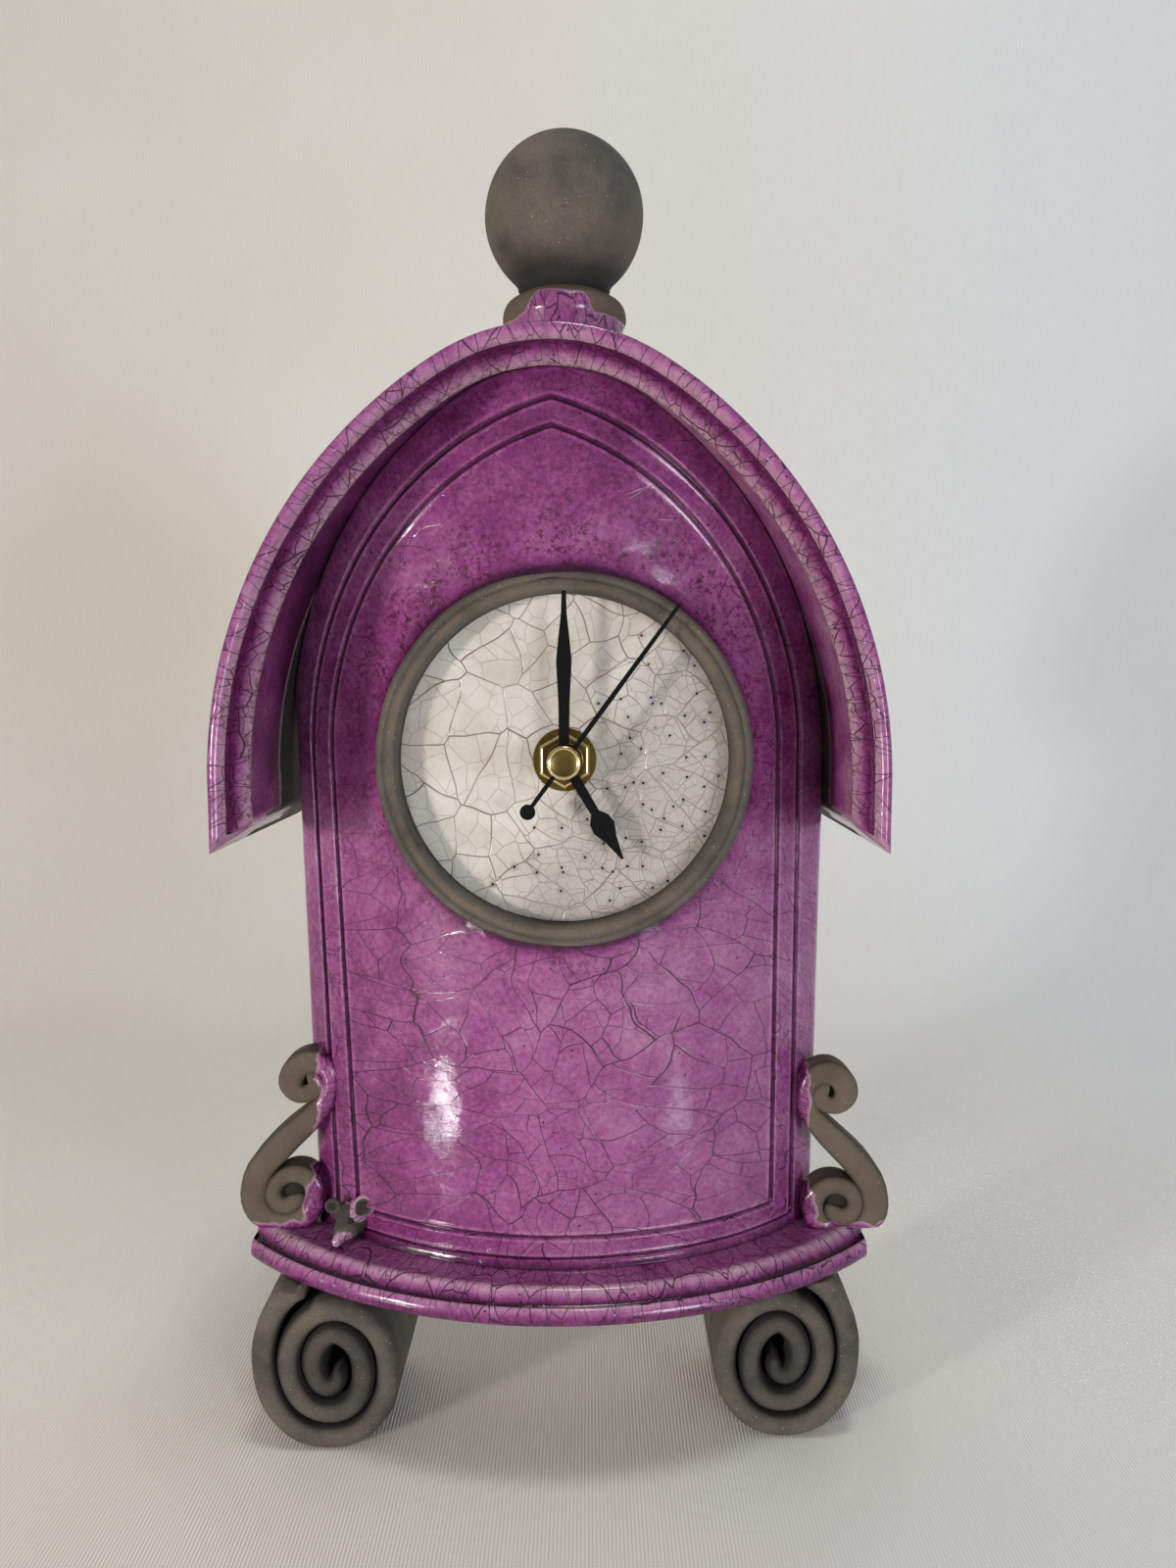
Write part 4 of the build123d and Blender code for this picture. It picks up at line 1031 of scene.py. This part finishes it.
def build_mouse():
    own = bmesh.new()
    nose, back = Vector(MOUSE_NOSE), Vector(MOUSE_BACK)
    last = len(MOUSE_WIDTHS) - 1
    tip = nose + (back - nose).normalized() * MOUSE_WIDTHS[last]
    for k, width in enumerate(MOUSE_WIDTHS):
        size = Matrix.Translation(back.lerp(tip, k / last)) @ Matrix.Scale(width, 4)
        bmesh.ops.create_icosphere(own, subdivisions=3, radius=1, matrix=size)
    for x, y, z, radius in MOUSE_EARS:
        size = Matrix.Translation((x, y, z)) @ Matrix.Diagonal((radius, 1.3, radius, 1.0))
        bmesh.ops.create_icosphere(own, subdivisions=3, radius=1, matrix=size)
    mesh = bpy.data.meshes.new("mouse_lumps")
    own.to_mesh(mesh)
    own.free()
    lumps = bpy.data.objects.new("mouse_lumps", mesh)
    bpy.context.scene.collection.objects.link(lumps)
    join = lumps.modifiers.new("join", "REMESH")
    join.mode, join.voxel_size = "VOXEL", MOUSE_GRAIN
    soften = lumps.modifiers.new("soften", "SMOOTH")
    soften.factor, soften.iterations = 0.5, 6
    done = lumps.evaluated_get(bpy.context.evaluated_depsgraph_get())
    mesh = bpy.data.meshes.new_from_object(done)
    bpy.data.objects.remove(lumps)

    shape = Shape()
    span = tip - back
    for vertex in mesh.vertices:
        place = vertex.co.copy()
        normal = vertex.normal
        pool_and_shade, bare = 0.6, 1.0
        for eye in MOUSE_EYES:
            gap = (place - Vector(eye)).length
            vertex.co -= normal * 0.9 * ease(1.1, 0.3, gap)
            # Painted shade in the eye dents
            pool_and_shade = max(pool_and_shade, 1.2 * ease(1.2, 0.6, gap))
        for x, y, z, radius in MOUSE_EARS:
            gap = hypot(place.x - x, place.z - z) / radius
            if gap < 1.1 and place.y < y:
                vertex.co.y += 1.1 * ease(0.85, 0.2, gap)
                # Painted shade in the ear hollows
                pool_and_shade = max(pool_and_shade, 0.9 * ease(0.9, 0.3, gap))
            if gap < 1.2 and x > MOUSE_NOSE[0]:
                rim = ease(0.65, 0.85, gap)
                bare = min(bare, 1 - 0.8 * rim)
                pool_and_shade = blend(pool_and_shade, -0.6, rim)
        along = (place - back).dot(span) / span.length_squared
        snout = ease(0.72, 0.95, along + 0.05 * (place.x + 56))
        bare = min(bare, 1 - 0.9 * snout)
        pool_and_shade = blend(pool_and_shade, -0.7, snout)
        bare = min(bare, 1 - 0.9 * ease(57.2, 58.4, place.z) * ease(3.0, 1.0, abs(place.x + 55.5)))
        bare = min(bare, ease(BASE_TOP, BASE_TOP + 1.6, place.z) + 0.2)
        shape.point(tuple(vertex.co), (place.x, place.z), pool_and_shade, bare)
    for vertex in mesh.vertices:
        vertex.co *= MM
    shape.dress(mesh)
    mesh.shade_smooth()
    mouse = bpy.data.objects.new("mouse", mesh)
    replaced = ("mouse_head", "mouse_left_ear", "mouse_right_ear")
    place_piece(mouse, strip_glaze, "case", "purple_glaze", *replaced)


build_hood()
build_panel()
build_ledge()
build_foot("left_foot", 1)
build_foot("right_foot", -1)
build_scroll("left_scroll", -1, *LEFT_SCROLL)
build_scroll("right_scroll", 1, *RIGHT_SCROLL)
build_finial()
build_bezel()
build_dial()
build_nut()
build_cap()
build_mouse()

# Solids that keep their shape and get a worked surface
brass = make_metal("turned_brass", srgb(196, 166, 96), 0.2)
black = make_metal("blackened_sheet", srgb(7, 7, 7), 0.6, 0.0, 0.02)
steel = make_metal("plain_steel", srgb(170, 170, 168), 0.35)
copper = make_metal("copper_wire", srgb(184, 104, 58), 0.4)
dark_plastic = make_plastic("dark_plastic", srgb(26, 26, 28), 0.55)
gear_plastic = make_plastic("gear_plastic", srgb(226, 224, 214), 0.45)
soft_rubber = make_plastic("soft_rubber", srgb(22, 22, 22), 0.9, 0.1)
board_green = make_plastic("board_green", srgb(34, 96, 52), 0.5)
cell_sleeve = make_plastic("cell_sleeve", srgb(58, 60, 66), 0.3)
SURFACES = {
    "brass": brass, "black_metal": black, "steel": steel, "copper_wire": copper,
    "black_plastic": dark_plastic, "white_plastic": gear_plastic, "black_rubber": soft_rubber,
    "green_board": board_green, "cell_sleeve": cell_sleeve,
    "purple_glaze": panel_glaze, "grey_clay": clay, "white_glaze": dial_glaze,
}
for part in frame["record"]["subparts"]:
    obj = frame["nodes"][part["node"]]
    obj.data.materials.clear()
    obj.data.materials.append(SURFACES[part["material_slot"]])
frame["nodes"]["brass_washer"].data.materials[0] = make_metal("aged_brass", srgb(126, 104, 52), 0.32)


# Floor, light and camera, in metres
SWEEP_HALF, SWEEP_FRONT, SWEEP_BACK, SWEEP_BEND, SWEEP_TALL = 2.2, -1.6, 0.3, 0.25, 2.4
WORLD_LEVEL = 0.27
LAMPS = (       # name, place, target, size, power, colour and spread in degrees
    ("key", (-0.58, -0.57, 0.15), (0, 0, 0.17), (0.08, 0.08), 2.9, (1.0, 0.95, 0.88), 180),
    ("fill", (0.6, -0.95, 0.1), (0, 0, 0.15), (0.3, 0.3), 4.4, (0.88, 0.94, 1.0), 180),
    ("top", (0.1, -0.2, 1.3), (0, 0, 0.1), (0.25, 0.25), 3.2, (1, 1, 1), 180),
    ("low_left", (-0.165, -0.164, 0.015), (-0.029, -0.021, 0.089), (0.014, 0.014), 0.0025, (1, 1, 1), 40),
    ("low_right", (0.17, -0.165, 0.015), (0.02, -0.022, 0.09), (0.02, 0.025), 0.0008, (0.85, 0.9, 1.0), 40),
)


def build_sweep():
    """Pale paper that curves up behind the clock."""
    line = [(SWEEP_FRONT, 0.0), (SWEEP_BACK, 0.0)]
    for turn in range(6, 91, 6):
        across, up = sin(radians(turn)), 1 - cos(radians(turn))
        line.append((SWEEP_BACK + SWEEP_BEND * across, SWEEP_BEND * up))
    line.append((SWEEP_BACK + SWEEP_BEND, SWEEP_TALL))
    points, faces = [], []
    for y, z in line:
        points += [(-SWEEP_HALF, y, z), (SWEEP_HALF, y, z)]
    for k in range(len(line) - 1):
        faces.append((2 * k, 2 * k + 1, 2 * k + 3, 2 * k + 2))
    mesh = bpy.data.meshes.new("sweep")
    mesh.from_pydata(points, [], faces)
    mesh.shade_smooth()
    sweep = bpy.data.objects.new("sweep", mesh)
    bpy.context.scene.collection.objects.link(sweep)
    nodes = Nodes("pale_paper")
    place = nodes.place()
    tone = nodes.ramp(nodes.cloud(place, 160.0, 2.0), [
        (0.3, srgb(242, 237, 227)), (0.7, srgb(246, 242, 234))])
    across = nodes.add("ShaderNodeSeparateXYZ", {0: place}).outputs[0]
    # Painted light: the paper turns paler and bluer towards the right
    tone = nodes.mix(nodes.spread(across, -100.0, 400.0), tone, srgb(248, 250, 252))
    nodes.set(Base_Color=tone, Roughness=0.9)
    wave = {"Vector": place, "Scale": 0.35}
    weave = nodes.add("ShaderNodeTexWave", wave, bands_direction="X").outputs[1]
    nodes.set(Normal=nodes.bump(weave, 0.12))
    sweep.data.materials.append(nodes.material)


def add_lamp(name, place, target, size, power, color, spread):
    data = bpy.data.lights.new(name, "AREA")
    data.shape = "RECTANGLE"
    data.size, data.size_y = size
    data.energy = power
    data.color = color
    data.spread = radians(spread)
    lamp = bpy.data.objects.new(name, data)
    lamp.location = place
    lamp.rotation_euler = (Vector(target) - Vector(place)).to_track_quat("-Z", "Y").to_euler()
    bpy.context.scene.collection.objects.link(lamp)


build_sweep()
for lamp in LAMPS:
    add_lamp(*lamp)
world = bpy.context.scene.world or bpy.data.worlds.new("studio")
bpy.context.scene.world = world
world.use_nodes = True
world.node_tree.nodes["Background"].inputs[0].default_value = (1, 1, 1, 1)
world.node_tree.nodes["Background"].inputs[1].default_value = WORLD_LEVEL

CAMERA_AT = (0.0077, -0.309, 0.1962)
CAMERA_DOWN = 5.2       # degrees below level
FOCAL_PX, IMAGE_H, SENSOR = 1202, 1600, 36
camera_data = bpy.data.cameras.new("camera")
camera_data.sensor_width = SENSOR
camera_data.lens = SENSOR * FOCAL_PX / IMAGE_H
camera = bpy.data.objects.new("camera", camera_data)
camera.location = CAMERA_AT
camera.rotation_euler = (radians(90 - CAMERA_DOWN), 0, 0)
bpy.context.scene.collection.objects.link(camera)
bpy.context.scene.camera = camera
bpy.context.scene.view_settings.view_transform = "Standard"
